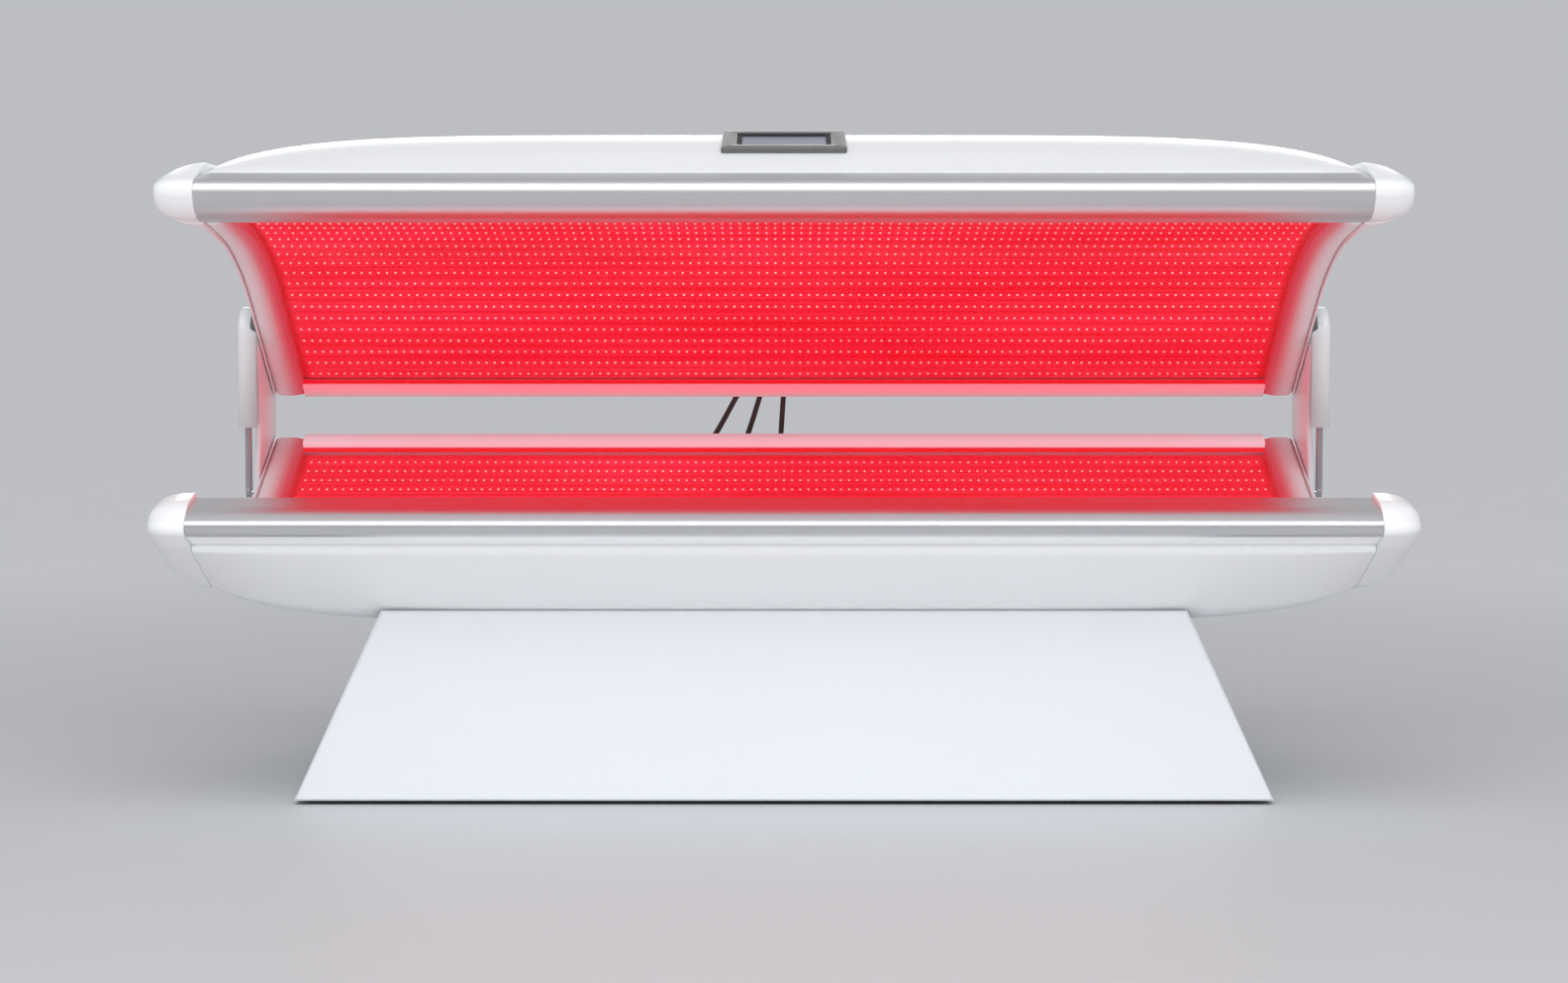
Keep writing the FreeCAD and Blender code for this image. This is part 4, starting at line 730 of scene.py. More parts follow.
GREY_BEZEL = Finish("bezel_grey", "grey_bezel", (0.17, 0.175, 0.165), 0.36, metallic=0.55, spread=0.12,
                    drift=0.06, lift=2e-5, grain=(20.0, 600.0, 600.0))
GASKET_BLACK = Finish("gasket_black", "screen_glass", (0.012, 0.012, 0.014), 0.5, spread=0.1, drift=0.2,
                      gloss=0.08)
SCREEN_GLASS = Finish("screen_face", "screen_glass", (0.13, 0.145, 0.2), 0.34, spread=0.06, drift=0.1)
BRIGHT_STEEL = Finish("turned_steel", "bright_steel", (0.66, 0.66, 0.67), 0.22, metallic=1.0, spread=0.16,
                      grain=(60.0, 800.0, 800.0))
BUSH_BRASS = Finish("bush_brass", "bush_brass", (0.72, 0.5, 0.22), 0.3, metallic=1.0, spread=0.15, drift=0.1)
STRUT_GREY = Finish("strut_enamel", "strut_grey", (0.35, 0.33, 0.37), 0.34, spread=0.12, drift=0.06, coat=0.3)
FINISH_OF_SLOT = {finish.slot: finish for finish in (
    WHITE_SHELL, SATIN_ALUMINIUM, SHEET_METAL, LIT_BOARD, CLEAR_ACRYLIC, ARCH_WHITE, WHITE_PAINT, FRAME_PAINT,
    BLACK_RUBBER, BLACK_PLASTIC, GREY_BEZEL, SCREEN_GLASS, BRIGHT_STEEL, BUSH_BRASS, STRUT_GREY)}
BACKDROP_PAPER = StageFinish("backdrop_paper", "none", (0.62, 0.63, 0.645), 0.5, spread=0.1, drift=0.01)


# Pieces


def add_piece(mesh: Mesh, body: Optional[Body], finish: Finish, *stands_for: str) -> Object:
    """Adds a piece of the bed to the scene, under its mesh's name.

    Args:
        mesh: Its mesh, already in place.
        body: The body it rides on, or none for a piece that bends between two.
        finish: Its finish.
        stands_for: The plain nodes that it replaces.

    Returns:
        The piece.
    """
    piece = bpy.data.objects.new(mesh.name, mesh)
    bpy.context.scene.collection.objects.link(piece)
    mesh.materials.append(finish.material())
    if body:
        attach(piece, body.value)
    if stands_for:
        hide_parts(*stands_for)
    LOG.info("%s: %d faces, %s", mesh.name, len(mesh.polygons), finish.name)
    return piece


def give_wall(piece: Object, wall: float) -> None:
    """Gives a sheet a wall in millimetres, grown inwards from its face."""
    solidify = piece.modifiers.new("Wall", "SOLIDIFY")
    solidify.thickness = wall * MM
    solidify.offset = -1.0


def merged(name: str, meshes: Sequence[Mesh], sharp: float = SHARP) -> Mesh:
    """Several meshes as one."""
    work = bmesh.new()
    for mesh in meshes:
        work.from_mesh(mesh)
        bpy.data.meshes.remove(mesh)
    whole = bpy.data.meshes.new(name)
    work.to_mesh(whole)
    work.free()
    smooth(whole, sharp)
    return whole


# Lit halves


@dataclass
class LitHalf:
    """One half of the bed: shell, rails, arches, acrylic, tray, lamps and end caps.

    The path is the side view of the lit surface from front to rear. What lies behind that surface, and what
    stands proud of it, is measured along the path's normal; face is 1 where the lit side is the path's left.
    """

    path: ClassVar[np.ndarray]
    rail: ClassVar[np.ndarray]
    name: str
    body: Body
    face: int
    rear_proud: float
    horn_reach: float
    horn_centre: Pair
    taper: float
    taper_reach: float
    shell_wall: float = 4.0
    rail_wall: float = 3.0
    arch_proud: float = 2.0
    arch_wide: float = 52.0
    arch_dip: float = 2.5  # an arch's edge beside the field lies this far behind the lit surface
    arch_slope: float = 18.0  # and its face rises over this width
    arch_radii: tuple[float, ...] = (0.8, 1.5, 16.0, 12.0)  # of its section's foot, lip, shoulder and back
    acrylic_wall: float = 4.0
    tray_deep: float = 20.0
    tray_wall: float = 2.0
    rear_deep: float = 14.0
    rear_front: float = 30.0
    rear_back: float = 6.0
    rear_radius: float = 4.0
    horn_radius: float = 12.0
    board_rows: int = 19
    board_pitch: float = 33.0
    board_deep: float = 16.1
    lamp_pitch: float = 14.2
    lamps_in_row: int = 119
    lamp_radius: float = 1.9
    lamp_height: float = 1.5
    lamp_sides: int = 8
    seam_wide: float = 1.2  # seam between a cap and the rail beside it
    seam_deep: float = 1.2
    seam_start: float = 0.4  # a horn starts this far behind its plate's inner face
    plate_start: float = 20.0  # a cap's plate starts this far along the rim, inside its horn
    plate_edge: float = 0.8
    front_finish: Finish = LIPPED_ALUMINIUM
    rear_finish: Finish = TROUGH_REAR
    horn_run: Pair = (60.0, 240.0)  # depths from which, and to which, a horn's form changes
    horn_roundness: Pair = (2.8, 2.4)
    horn_end_share: Pair = (0.5, 0.45)

    STATIONS: ClassVar[int] = 81
    LINE_POINTS: ClassVar[int] = 81
    RING_POINTS: ClassVar[int] = 180
    HORN_RINGS: ClassVar[int] = 20
    NEAR: ClassVar[float] = 1.0  # a row's slope is taken this far to either side
    LENS_RINGS: ClassVar[tuple[Pair, Pair]] = ((1.0, 0.0), (0.72, 0.7))  # shares of its radius and height

    def line(self, rear_cut: float = 0.0) -> np.ndarray:
        """Points of the path, evenly spaced, cut short at the rear."""
        points = rounded(self.path, closed=False, steps=FINE)
        return along(points, np.linspace(0.0, reaches(points)[-1] - rear_cut, self.LINE_POINTS))

    def shell_corners(self, x: np.ndarray) -> np.ndarray:
        """Corners of the shell's outside at each x."""
        raise NotImplementedError

    def fullness(self, x: np.ndarray) -> np.ndarray:
        """The shell's fullness at x, sqrt(1 - (|x| / reach)^taper)."""
        return np.sqrt(1 - (np.abs(x) / self.taper_reach) ** self.taper)

    def end_corners(self) -> np.ndarray:
        """Corners of the shell's outside at its ends."""
        return self.shell_corners(np.array([RAIL_HALF]))[0]

    def horn_corners(self) -> np.ndarray:
        """Corners of a cap's horn, where it meets the shell."""
        raise NotImplementedError

    def plate_outlines(self) -> list[np.ndarray]:
        """Outline of a cap's plate, then its openings."""
        raise NotImplementedError

    def rim(self) -> np.ndarray:
        """Corners of the path at the arches' proud face."""
        return offset(self.path, self.arch_proud * self.face)

    def plate_rim(self) -> np.ndarray:
        """Corners of the rim from rear to front, stopped inside the horn."""
        rim = self.rim()
        rim[0, :2] += unit(rim[1, :2] - rim[0, :2]) * self.plate_start
        return rim[::-1]

    def rim_point(self) -> np.ndarray:
        """Where a cap's horn ends along the rim."""
        return along(rounded(self.rim(), closed=False, steps=FINE), self.horn_reach)

    def build(self) -> None:
        """Builds every piece of the half."""
        self.build_shell()
        self.build_rails()
        self.build_field()
        self.build_lamps()
        for side_of_bed in Side:
            self.build_arch(side_of_bed)
            self.build_cap(side_of_bed)

    def build_shell(self) -> None:
        """The shell: its side outline at x, closer together towards the ends, with a wall grown inwards."""
        x = RAIL_HALF * np.sin(np.linspace(-np.pi / 2, np.pi / 2, self.STATIONS))
        outline = rounded(self.shell_corners(x), closed=False, steps=FINE)
        points = at_x(outline, x[:, None])
        faces = grid_faces(*points.shape[:2]).tolist()
        mesh = make_mesh(f"{self.name}_shell_moulding", points, faces)
        piece = add_piece(mesh, self.body, WHITE_SHELL, f"{self.name}_shell")
        give_wall(piece, self.shell_wall)

    def build_rails(self) -> None:
        """The hollow front rail and the rear rail that lies across the end of the path."""
        outer = rounded(self.rail)
        inner = rounded(offset(self.rail, self.rail_wall * self.face, closed=True))
        ends = ((outer, -RAIL_HALF), (outer, RAIL_HALF), (inner, RAIL_HALF), (inner, -RAIL_HALF))
        rings = np.stack([at_x(outline, x) for outline, x in ends])
        front = ringed(f"{self.name}_front_extrusion", rings, loop=True)
        add_piece(front, self.body, self.front_finish, f"{self.name}_front_rail")
        end, before = self.path[-1, :2], self.path[-2, :2]
        lean = unit(end - before)
        rise = np.array([-lean[1], lean[0]]) * self.face
        low, high = -self.rear_deep, self.rear_proud
        fore, aft = -self.rear_front, self.rear_back
        spots = [(fore, low), (aft, low), (aft, high), (fore, high)]
        corners = [(*(end + lean * reach + rise * shift), self.rear_radius) for reach, shift in spots]
        outline = rounded(np.array(corners))
        rings = np.stack([at_x(outline, x) for x in (-FIELD_HALF, FIELD_HALF)])
        rear = ringed(f"{self.name}_rear_extrusion", rings)
        add_piece(rear, self.body, self.rear_finish, f"{self.name}_rear_rail")

    def sheet(self, name: str, deep: float, wall: float) -> Mesh:
        """A sheet along the path, its far face deep behind the lit surface."""
        low, high = -deep * self.face, (wall - deep) * self.face
        section = np.array([(-FIELD_HALF, low), (FIELD_HALF, low), (FIELD_HALF, high), (-FIELD_HALF, high)])
        return carried(name, self.line(FIELD_END), section)

    def build_field(self) -> None:
        """The clear acrylic and the tray behind it."""
        acrylic = self.sheet(f"{self.name}_acrylic_sheet", self.acrylic_wall, self.acrylic_wall)
        add_piece(acrylic, self.body, CLEAR_ACRYLIC, f"{self.name}_acrylic")
        tray = self.sheet(f"{self.name}_tray_sheet", self.tray_deep, self.tray_wall)
        add_piece(tray, self.body, LIT_TRAY, f"{self.name}_led_tray")

    def build_lamps(self) -> None:
        """Lamp lenses in rows on the boards: each a low dome of two rings and a tip."""
        line = self.line(FIELD_END)
        rest = (reaches(line)[-1] - (self.board_rows - 1) * self.board_pitch) / 2
        reach = rest + self.board_pitch * np.arange(self.board_rows)
        run = unit(along(line, reach + self.NEAR) - along(line, reach - self.NEAR))
        rise = np.stack([-run[:, 1], run[:, 0]], axis=1) * self.face
        foot = along(line, reach) - rise * self.board_deep
        turn = np.linspace(0, 2 * np.pi, self.lamp_sides, endpoint=False)
        rings = [np.stack([np.cos(turn) * share, np.sin(turn) * share, np.full_like(turn, height)], axis=1)
                 for share, height in self.LENS_RINGS]
        across, forward, up = np.concatenate([*rings, [(0, 0, 1)]]).T
        x = (np.arange(self.lamps_in_row) - (self.lamps_in_row - 1) / 2) * self.lamp_pitch
        shape = (self.board_rows, self.lamps_in_row, len(up))
        places = (foot[:, None, :] + run[:, None, :] * forward[:, None] * self.lamp_radius
                  + rise[:, None, :] * up[:, None] * self.lamp_height)
        points = np.empty(shape + (3,))
        points[..., 0] = x[:, None] + across * self.lamp_radius
        points[..., 1:] = places[:, None]
        sides, tip = self.lamp_sides, 2 * self.lamp_sides
        walls = grid_faces(2, sides, wrap=True)
        fan = np.stack([np.arange(sides) + sides, (np.arange(sides) + 1) % sides + sides,
                        np.full(sides, tip)], axis=1)
        starts = np.arange(shape[0] * shape[1])[:, None, None] * shape[2]
        faces = (starts + walls).reshape(-1, 4).tolist() + (starts + fan).reshape(-1, 3).tolist()
        add_piece(make_mesh(f"{self.name}_lamp_lenses", points, faces), self.body, LAMP_LENS)

    def build_arch(self, end: Side) -> None:
        """An arch beside the field: a section with a crowned face, low at the field, along the path."""
        name = f"{self.name}_{end.name.lower()}_arch"
        inner, outer = RAIL_HALF - self.arch_wide, RAIL_HALF
        low, proud, dip = (rise * self.face for rise in (-self.tray_deep, self.arch_proud, -self.arch_dip))
        foot, lip, shoulder, back = self.arch_radii
        corners = [(inner, low, foot), (inner, dip, lip), (inner + self.arch_slope, proud, shoulder),
                   (outer, proud, back), (outer, low, foot)]
        section = rounded(np.array(corners)) * np.array([end.value, 1.0])
        add_piece(carried(f"{name}_moulding", self.line(), section), self.body, ARCH_WHITE, name)

    def ring(self, corners: np.ndarray) -> np.ndarray:
        """Evenly spaced points round a horn's outline."""
        outline = rounded(corners, steps=MEDIUM)
        closed = np.concatenate([outline, outline[:1]])
        return along(closed, np.linspace(0.0, reaches(closed)[-1], self.RING_POINTS, endpoint=False))

    def build_cap(self, end: Side) -> None:
        """An end cap: a plate that closes the end and a horn over the front corner.

        The horn's section keeps the share (1 - (1 - e^n) t^n)^(1/n) of its size about its centre, where t is
        the share of the cap's length; e, the share at its end, and n, its roundness, change from the horn's
        front to its rear. A narrow seam comes first.
        """
        name = f"{self.name}_{end.name.lower()}_cap"
        corners = self.horn_corners()
        outline = self.ring(corners)
        run = np.array(self.horn_run) - HALF_DEPTH
        roundness = np.interp(outline[:, 0], run, self.horn_roundness)
        end_share = np.interp(outline[:, 0], run, self.horn_end_share)
        share = np.sin(np.linspace(0, np.pi / 2, self.HORN_RINGS))
        keep = (1 - (1 - end_share ** roundness) * share[:, None] ** roundness) ** (1 / roundness)
        centre = np.array(self.horn_centre) - np.array([HALF_DEPTH, 0.0])
        swell = centre + (outline - centre) * keep[..., None]
        seam = self.ring(offset(corners, self.seam_deep * self.face, closed=True))
        outlines = np.concatenate([[seam, seam], swell])
        reach = share * (CAP_LENGTH - self.seam_wide) + self.seam_wide
        reach = np.concatenate([[self.seam_start, self.seam_wide], reach])
        rings = at_x(outlines, end.value * (RAIL_HALF + reach)[:, None])
        start, stop = end.value * RAIL_HALF, end.value * (RAIL_HALF + PLATE_WALL)
        closing = plate("plate", self.plate_outlines(), start, stop, self.plate_edge)
        add_piece(merged(f"{name}_moulding", [ringed("horn", rings), closing]), self.body, WHITE_SHELL, name)


def corner_rows(x: np.ndarray, rows: Sequence[tuple]) -> np.ndarray:
    """Outline corners (y, z, radius) at each x, from depths, heights and radii that may vary with x."""
    spots = [np.stack([np.broadcast_to(part, x.shape) for part in side(*row)], axis=-1) for row in rows]
    return np.stack(spots, axis=-2)


@dataclass
class BedHalf(LitHalf):
    """The lower half, with its boat-shaped belly."""

    path: ClassVar[np.ndarray] = TROUGH
    rail: ClassVar[np.ndarray] = BED_RAIL
    name: str = "bed"
    body: Body = Body.BED
    face: int = 1
    rear_proud: float = 8.0
    horn_reach: float = 218.0
    horn_centre: Pair = (50.0, 450.0)
    horn_rise: float = 8.0
    belly: float = 285.0
    rail_foot: float = 422.0
    taper: float = 6.5
    taper_reach: float = 970.0
    lip: Pair = (80.0, 429.3)  # the shell's front edge, behind the rail
    chin: Triple = (38.0, 417.3, 12.0)  # its turn below the rail
    bow: Pair = (196.0, 110.0)  # depth and radius of the belly's front turn
    keel: Pair = (690.0, 140.0)  # depth and radius of its rear turn
    stern: Triple = (818.0, 430.0, 80.0)
    stern_top: Pair = (750.5, 560.0)

    def shell_corners(self, x: np.ndarray) -> np.ndarray:
        """Corners at x: the belly rises to the rail's foot as the shell's fullness falls."""
        full = self.fullness(x)
        floor = self.belly + (self.rail_foot - self.belly) * (1 - full)
        turns = [(depth, floor, radius * full) for depth, radius in (self.bow, self.keel)]
        chin = (*self.chin[:2], self.chin[2] * full)
        return corner_rows(x, [self.lip, chin, *turns, self.stern, self.stern_top])

    def horn_corners(self) -> np.ndarray:
        """The rail's front, raised at its top, the shell's front and two corners behind."""
        end_path = self.end_corners()
        inner_y, inner_z = self.rim_point()
        behind = [(inner_y, end_path[2, 1], self.horn_radius), (inner_y, inner_z, self.horn_radius)]
        crest = self.rail[:2] + np.array([0.0, self.horn_rise, 0.0])
        return np.concatenate([crest, self.rail[2:3], end_path[1:3], behind, self.rim()[:1]])

    def plate_outlines(self) -> list[np.ndarray]:
        """From the horn's middle round the shell's end and along the rim."""
        end_path = self.end_corners()
        corners = np.concatenate([[side(*self.horn_centre)], end_path[2:], self.plate_rim()])
        return [rounded(corners, steps=FINE)]


@dataclass
class CanopyHalf(LitHalf):
    """The upper half, with its dome."""

    path: ClassVar[np.ndarray] = VAULT
    rail: ClassVar[np.ndarray] = BROW_RAIL
    name: str = "canopy"
    body: Body = Body.CANOPY
    face: int = -1
    rear_proud: float = 2.0
    horn_reach: float = 160.0
    horn_centre: Pair = (112.0, 962.0)
    rim_height: float = 996.0
    front_rise: float = 2.0
    front_tuck: float = 2.4  # the dome's front edge starts this far down, behind the rail
    crown_rise: float = 76.0
    front_edge: float = 162.0  # depth
    brow: Pair = (275.0, 430.0)  # depth and radius of the dome's front turn
    back: float = 795.0  # depth of the dome's back
    rear_round: float = 365.0  # radius of its rear turn at full height
    heel: float = 672.0  # height at which the back turns in
    heel_radius: float = 25.0
    rear_edge: Pair = (752.2, 646.2)
    horn_crest: Pair = (190.0, 30.0)  # depth and radius of a horn's turn below the dome
    taper: float = 5.5
    taper_reach: float = 917.0
    fan_place: Pair = (470.0, 933.0)
    vent_size: Pair = (66.0, 6.0)
    vent_pitch: float = 13.0
    vent_rows: int = 5
    vent_flat: float = 0.1  # half of the flat at a slot's round end
    front_finish: Finish = BROW_ALUMINIUM
    rear_finish: Finish = VAULT_REAR
    horn_run: Pair = (130.0, 250.0)
    horn_roundness: Pair = (3.2, 0.8)
    horn_end_share: Pair = (0.62, 0.2)

    def shell_corners(self, x: np.ndarray) -> np.ndarray:
        """Corners at x: the dome rises with the shell's fullness."""
        full = self.fullness(x)
        front = self.rim_height + self.front_rise * full
        crown = self.rim_height + self.crown_rise * full
        rear_radius = self.rear_round * (crown - self.heel) / (self.rim_height + self.crown_rise - self.heel)
        brow, brow_radius = self.brow
        return corner_rows(x, [(self.front_edge, front - self.front_tuck), (brow, crown, brow_radius),
                               (self.back, crown, rear_radius), (self.back, self.heel, self.heel_radius),
                               self.rear_edge])

    def horn_corners(self) -> np.ndarray:
        """The rail's front, the dome's end and two corners behind."""
        crown = self.end_corners()[1, 1]
        inner_y, inner_z = self.rim_point()
        radius = self.horn_radius
        crest, crest_radius = self.horn_crest
        behind = [side(crest, crown, crest_radius), (inner_y, crown, radius), (inner_y, inner_z, radius)]
        return np.concatenate([self.rail[:3], behind, self.rim()[:1]])

    def plate_outlines(self) -> list[np.ndarray]:
        """The dome's end and the rim, with the vent slots in front of the fan."""
        end_path = self.end_corners()
        whole = rounded(np.concatenate([end_path, self.plate_rim()]), steps=FINE)
        long, high = self.vent_size
        middle_y, middle_z, _ = side(*self.fan_place)
        vents = []
        for row in range(self.vent_rows):
            z = middle_z + (row - (self.vent_rows - 1) / 2) * self.vent_pitch
            low, top = (middle_y - long / 2, z - high / 2), (middle_y + long / 2, z + high / 2)
            vents.append(rounded_box(low, top, high / 2 - self.vent_flat))
        return [whole] + vents


# Hinge posts, display and cables


@dataclass
class HingePost:
    """A post that carries one end of the canopy, and the moulded cover over its lever and strut."""

    end: Side
    inner: float = 913.0
    outer: float = 923.0
    pivot: Pair = (690.0, 700.0)
    bush_radius: float = 13.1
    bolts: tuple[Pair, ...] = ((665.0, 482.0), (720.0, 482.0))
    bolt_hole: float = 4.15  # radius
    bolt_sides: int = 20
    seat_margin: float = 18.0
    seat_radius: float = 6.0
    seat_edge: float = 0.2
    edge: float = 2.5
    cover_start: float = 923.3
    cover_deep: float = 22.0
    cover_wall: float = 2.5
    cover_edge: float = 6.0
    cover_steps: int = 6

    BLADE: ClassVar[tuple[Triple, ...]] = (
        side(599.6, 450.0, 8.0), side(736.6, 450.0, 8.0), side(771.6, 602.5, 250.0),
        side(736.6, 755.0, 40.0), side(599.6, 755.0, 40.0), side(634.6, 602.5, 250.0))
    COVER: ClassVar[tuple[Triple, ...]] = (
        side(588.0, 584.0), side(588.0, 793.0, 45.0), side(746.0, 793.0, 45.0), side(746.0, 584.0))

    @property
    def label(self) -> str:
        """The end's name."""
        return self.end.name.lower()

    def build(self) -> None:
        """Builds the post and its cover."""
        self.build_post()
        self.build_cover()

    def build_post(self) -> None:
        """The post: a C-shaped plate set back at its waist, with bores and a seat pad on the bed's end."""
        sign = self.end.value
        blade = rounded(np.array(self.BLADE), steps=FINE)
        bore = disc(side(*self.pivot), self.bush_radius)
        bolt_holes = [disc(side(*place), self.bolt_hole, self.bolt_sides) for place in self.bolts]
        body = plate("blade", [blade, bore] + bolt_holes, sign * self.inner, sign * self.outer, self.edge)
        places = np.array([side(*place)[:2] for place in self.bolts])
        low, high = places.min(axis=0) - self.seat_margin, places.max(axis=0) + self.seat_margin
        pad = rounded_box(low, high, self.seat_radius)
        start, stop = sign * (RAIL_HALF + PLATE_WALL), sign * self.inner
        seat = plate("seat", [pad] + bolt_holes, start, stop, self.seat_edge)
        mesh = merged(f"{self.label}_post_casting", [body, seat], PLATE_SHARP)
        add_piece(mesh, Body.BED, WHITE_PAINT, f"{self.label}_hinge_post")

    def build_cover(self) -> None:
        """The cover: a wall round its side outline, open below, that turns by a quarter round into its face.

        Ring t of the turn is the outline moved inwards by e (1 - cos(t)) at the depth d - e (1 - sin(t)). The
        front run of the first ring reaches in to the post's inner face.
        """
        turn = np.linspace(0, np.pi / 2, self.cover_steps)
        moves = np.concatenate([[0.0], self.cover_edge * (1 - np.cos(turn))])
        deeps = np.concatenate([[0.0], self.cover_deep - self.cover_edge * (1 - np.sin(turn))])
        corners = [offset(self.COVER, -move) for move in moves]
        outlines = rounded(np.stack(corners), closed=False, steps=MEDIUM)
        x = np.broadcast_to((self.cover_start + deeps)[:, None], outlines.shape[:2]).copy()
        x[0, :2] = self.inner
        rings = at_x(outlines, self.end.value * x)
        rows, columns = rings.shape[:2]
        faces = grid_faces(rows, columns).tolist() + [list(range((rows - 1) * columns, rows * columns))]
        mesh = make_mesh(f"{self.label}_cover_moulding", rings, faces)
        piece = add_piece(mesh, Body.BED, WHITE_SHELL, f"{self.label}_post_cover")
        give_wall(piece, self.cover_wall)


@dataclass
class Display:
    """The display on the dome: a bezel, a black gasket in its opening and a screen behind the gasket."""

    place: Pair = (282.0, 1054.1)
    tilt: float = math.radians(16.6)
    outer: Pair = (200.0, 130.0)
    opening: Pair = (150.0, 86.0)
    screen: Pair = (134.0, 68.0)
    screen_drop: float = 3.0  # the screen sits this far below the middle of the opening

    # Rings, each by its corner radius, its inset and its rise off the plane
    BEZEL_OUTSIDE: ClassVar[tuple[Triple, ...]] = ((5.0, 0.0, -6.0), (5.0, 0.0, 2.4), (4.4, 0.5, 3.4),
                                                   (3.6, 1.6, 4.0))
    BEZEL_INSIDE: ClassVar[tuple[Triple, ...]] = ((3.0, -1.2, 4.0), (2.4, -0.3, 3.6), (2.2, 0.0, 2.9),
                                                  (2.2, 0.0, -6.0))
    GASKET_RIM: ClassVar[tuple[Triple, ...]] = ((2.0, 0.2, 0.0), (2.0, 0.2, 2.2), (1.6, 0.8, 2.6))
    GASKET_WELL: ClassVar[tuple[Triple, ...]] = ((1.6, -1.0, 2.6), (1.2, 0.0, 1.6), (1.2, 0.0, 0.0))
    PANEL: ClassVar[tuple[Triple, ...]] = ((1.2, 0.0, 0.2), (1.2, 0.0, 1.1))
    FRAME_SHARP: ClassVar[float] = 40.0

    def set(self, outline: np.ndarray, rise: float) -> np.ndarray:
        """Points (x, up the slope) of an outline on the display's plane, lifted off it."""
        middle_y, middle_z, _ = side(*self.place)
        across, forward = outline.T
        cos, sin = math.cos(self.tilt), math.sin(self.tilt)
        y = middle_y + forward * cos - rise * sin
        z = middle_z + forward * sin + rise * cos
        return np.stack([across, y, z], axis=-1)

    def rings(self, extent: Pair, rows: Sequence[Triple], drop: float = 0.0) -> list[np.ndarray]:
        """Rounded rectangles on the display's plane.

        Args:
            extent: Width and depth.
            rows: Corner radius, inset and rise of each.
            drop: How far down the slope their middle lies.

        Returns:
            Points (x, y, z) of each.
        """
        rings = []
        for radius, inset, rise in rows:
            wide, deep = extent[0] / 2 - inset, extent[1] / 2 - inset
            rings.append(self.set(rounded_box((-wide, -deep - drop), (wide, deep - drop), radius), rise))
        return rings

    def build(self) -> None:
        """Builds the bezel, the gasket and the screen."""
        bezel = self.rings(self.outer, self.BEZEL_OUTSIDE) + self.rings(self.opening, self.BEZEL_INSIDE)
        mesh = ringed("display_bezel_frame", np.stack(bezel), loop=True, sharp=self.FRAME_SHARP)
        add_piece(mesh, Body.CANOPY, GREY_BEZEL, "display_bezel")
        well = self.rings(self.screen, self.GASKET_WELL, self.screen_drop)
        gasket = np.stack(self.rings(self.opening, self.GASKET_RIM) + well)
        mesh = ringed("display_gasket", gasket, loop=True, sharp=self.FRAME_SHARP)
        add_piece(mesh, Body.CANOPY, GASKET_BLACK)
        panel = np.stack(self.rings(self.screen, self.PANEL, self.screen_drop))
        add_piece(ringed("display_panel", panel), Body.CANOPY, SCREEN_GLASS, "display_screen")


@dataclass
class Cable:
    """A cable from the canopy's rear to the bed's, along the smooth curve that its route's points frame."""

    name: str
    across: Sequence[float]  # x of each point of the route, from the canopy to the bed
    length: float  # metres
    radius: float = 5.0
    sides: int = 14
    steps: int = 10  # between two points of the route

    ROUTE: ClassVar[tuple[Pair, ...]] = ((815, 712), (847, 712), (881.6, 692), (901, 650.3), (896, 572),
                                         (861.5, 525.8), (813.3, 501.5))  # depth and height of each point

    def line(self) -> np.ndarray:
        """Points of the route's smooth curve, in millimetres."""
        curve = bpy.data.curves.new(self.name, "CURVE")
        curve.dimensions = "3D"
        curve.resolution_u = self.steps
        route = np.array([side(*place)[:2] for place in self.ROUTE])
        spline = add_spline(curve, "NURBS", at_x(route, np.array(self.across)))
        spline.order_u = 3
        spline.use_endpoint_u = True
        mesh, points = mesh_of(curve)
        bpy.data.meshes.remove(mesh)
        return points.astype(float)

    def build(self) -> None:
        """The cable: a circle carried along the curve, upright in the plane across X and the curve's run."""
        line = self.line()
        run = unit(np.gradient(line, axis=0))
        out = unit(np.cross(run, np.array([1.0, 0.0, 0.0])))
        across = np.cross(out, run)
        turn = np.linspace(0, 2 * np.pi, self.sides, endpoint=False)[:, None]
        spokes = np.cos(turn) * out[:, None, :] + np.sin(turn) * across[:, None, :]
        mesh = ringed(f"{self.name}_lead", line[:, None, :] + self.radius * spokes)
        piece = add_piece(mesh, None, BLACK_RUBBER, self.name)
        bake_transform(piece)


CABLES = (
    Cable("cable_left", (-38, -38, -50, -78, -120, -150, -150), 0.3297),
    Cable("cable_middle", (-17, -17, -24, -39, -63, -80, -80), 0.3118),
    Cable("cable_right", (4, 4, 3, 0, -5, -8, -8), 0.3034),
)


def dress_nodes() -> None:
    """Gives each node that still shows the finish of its slot."""
    for part in frame["record"]["subparts"]:
        node = frame["nodes"][part["node"]]
        if node.hide_render:
            continue
        finish = FINISH_OF_SLOT[part["material_slot"]]
        node.data.materials.clear()
        node.data.materials.append(finish.material())
        LOG.info("%s: kept, %s", part["node"], finish.name)


def spare(source: Object, names: Sequence[str]) -> None:
    """Keeps the direct light of a lamp, or of a lit piece, off some pieces.

    Args:
        source: The lamp or lit piece.
        names: Names of the pieces that it leaves unlit.
    """
    unlit = bpy.data.collections.new(f"{source.name}_unlit")
    for name in names:
        unlit.objects.link(bpy.data.objects[name])
    for member in unlit.collection_objects:
        member.light_linking.link_state = "EXCLUDE"
    source.light_linking.receiver_collection = unlit


def spare_covers() -> None:
    """Keeps the light of boards, trays and lenses off the post covers, which stand behind the caps."""
    covers = [f"{end.name.lower()}_cover_moulding" for end in Side]
    for half in Body:
        spare(frame["nodes"][f"{half.value}_led_boards"], covers)
        for piece in ("tray_sheet", "lamp_lenses"):
            spare(bpy.data.objects[f"{half.value}_{piece}"], covers)


# Studio


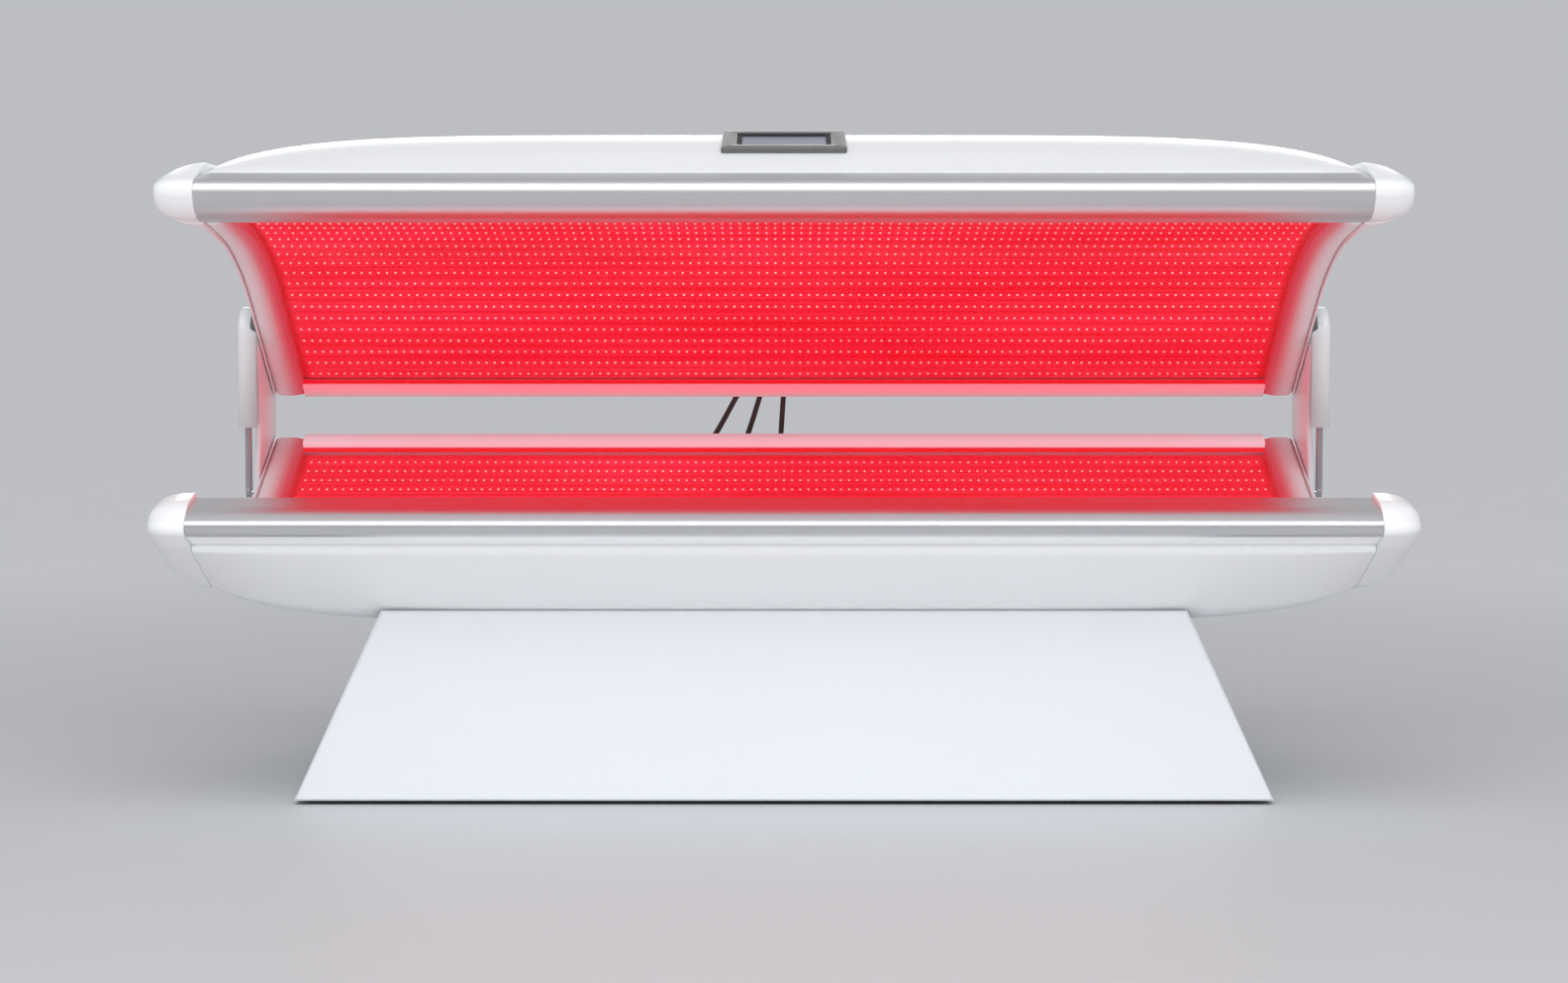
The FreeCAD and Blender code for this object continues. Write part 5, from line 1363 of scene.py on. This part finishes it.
@dataclass(frozen=True)
class Lamp:
    """A soft rectangular lamp."""

    name: str
    place: Triple  # metres
    aim: Triple  # the place that it points at
    extent: Pair
    power: float  # watts
    mirrored: bool = True  # whether glossy surfaces mirror it
    spared: Sequence[str] = ()  # names of pieces that it leaves unlit

    def build(self) -> None:
        """Adds the lamp to the scene."""
        light = bpy.data.lights.new(self.name, "AREA")
        light.shape = "RECTANGLE"
        light.size, light.size_y = self.extent
        light.energy = self.power
        lamp = bpy.data.objects.new(self.name, light)
        lamp.location = self.place
        lamp.rotation_euler = (Vector(self.aim) - lamp.location).to_track_quat("-Z", "Y").to_euler()
        lamp.visible_camera = False
        lamp.visible_glossy = self.mirrored
        if self.spared:
            spare(lamp, self.spared)
        bpy.context.scene.collection.objects.link(lamp)
        LOG.info("%s: lamp of %.1f W", self.name, self.power)


LAMPS = (
    Lamp("softbox", place=(0.0, -3.0, 4.4), aim=(0.0, -0.2, 0.7), extent=(6.0, 3.2), power=140.0),
    Lamp("front_fill", place=(0.0, -1.9, 0.34), aim=(0.0, -0.2, 0.4), extent=(3.6, 0.12), power=15.5,
         mirrored=False, spared=("stage", "canopy_acrylic_sheet")),
    Lamp("back_fill", place=(0.0, 6.4, 3.2), aim=(0.0, 0.0, 0.9), extent=(6.0, 1.8), power=90.0,
         spared=("stage", "canopy_front_extrusion", "bed_front_extrusion")),
)


@dataclass
class Studio:
    """A pale seamless stage, soft lamps and the camera."""

    floor: float = 5.6  # radius of the flat floor, in metres
    sweep: float = 3.2  # radius of the quarter round behind it
    middle: float = 0.02  # radius of its middle face
    floor_rings: int = 12
    sweep_rings: int = 24
    sides: int = 128
    lens: float = 60.7
    sensor: float = 36.0
    camera_place: Triple = (0.0, -4.4004, 0.7291)
    camera_turn: Triple = (math.radians(86.8), 0.0, 0.0)
    sky: Colour = (0.5, 0.505, 0.52)

    def build(self) -> None:
        """Builds the stage, the lamps and the camera."""
        self.build_stage()
        self.build_world()
        for lamp in LAMPS:
            lamp.build()
        self.build_camera()

    def build_stage(self) -> None:
        """The stage: a profile of floor and quarter round turned about the upright axis."""
        turn = np.linspace(0, np.pi / 2, self.sweep_rings)[1:]
        flat = np.linspace(self.middle, self.floor, self.floor_rings)
        radius = np.concatenate([flat, self.floor + self.sweep * np.sin(turn)])
        height = np.concatenate([np.zeros_like(flat), self.sweep * (1 - np.cos(turn))])
        angle = np.linspace(0, 2 * np.pi, self.sides, endpoint=False)
        spread = np.stack([np.cos(angle), np.sin(angle)], axis=-1) * radius[:, None, None]
        upright = np.broadcast_to(height[:, None, None], (len(height), self.sides, 1))
        rings = np.concatenate([spread, upright], axis=-1) / MM
        faces = grid_faces(len(radius), self.sides, wrap=True).tolist() + [list(range(self.sides))]
        mesh = make_mesh("stage", rings, faces, recalculate=False)
        mesh.flip_normals()
        stage = bpy.data.objects.new("stage", mesh)
        bpy.context.scene.collection.objects.link(stage)
        mesh.materials.append(BACKDROP_PAPER.material())

    def build_world(self) -> None:
        """An even grey surround."""
        world = bpy.data.worlds.new("surround")
        world.use_nodes = True
        world.node_tree.nodes["Background"].inputs["Color"].default_value = (*self.sky, 1.0)
        bpy.context.scene.world = world
        bpy.context.scene.view_settings.view_transform = "Standard"

    def build_camera(self) -> None:
        """The camera at the photograph's place."""
        data = bpy.data.cameras.new("camera")
        data.lens = self.lens
        data.sensor_width = self.sensor
        camera = bpy.data.objects.new("camera", data)
        camera.location = self.camera_place
        camera.rotation_euler = self.camera_turn
        bpy.context.scene.collection.objects.link(camera)
        bpy.context.scene.camera = camera


def main() -> None:
    """Builds each sub-assembly, then the finishes of the nodes that stay, then the studio."""
    logging.basicConfig(level=logging.INFO, format="%(name)s %(message)s")
    for cable in CABLES:
        cable.build()
    for half in (BedHalf(), CanopyHalf()):
        half.build()
    for end in Side:
        HingePost(end).build()
    Display().build()
    dress_nodes()
    spare_covers()
    Studio().build()


if __name__ == "__main__":
    main()
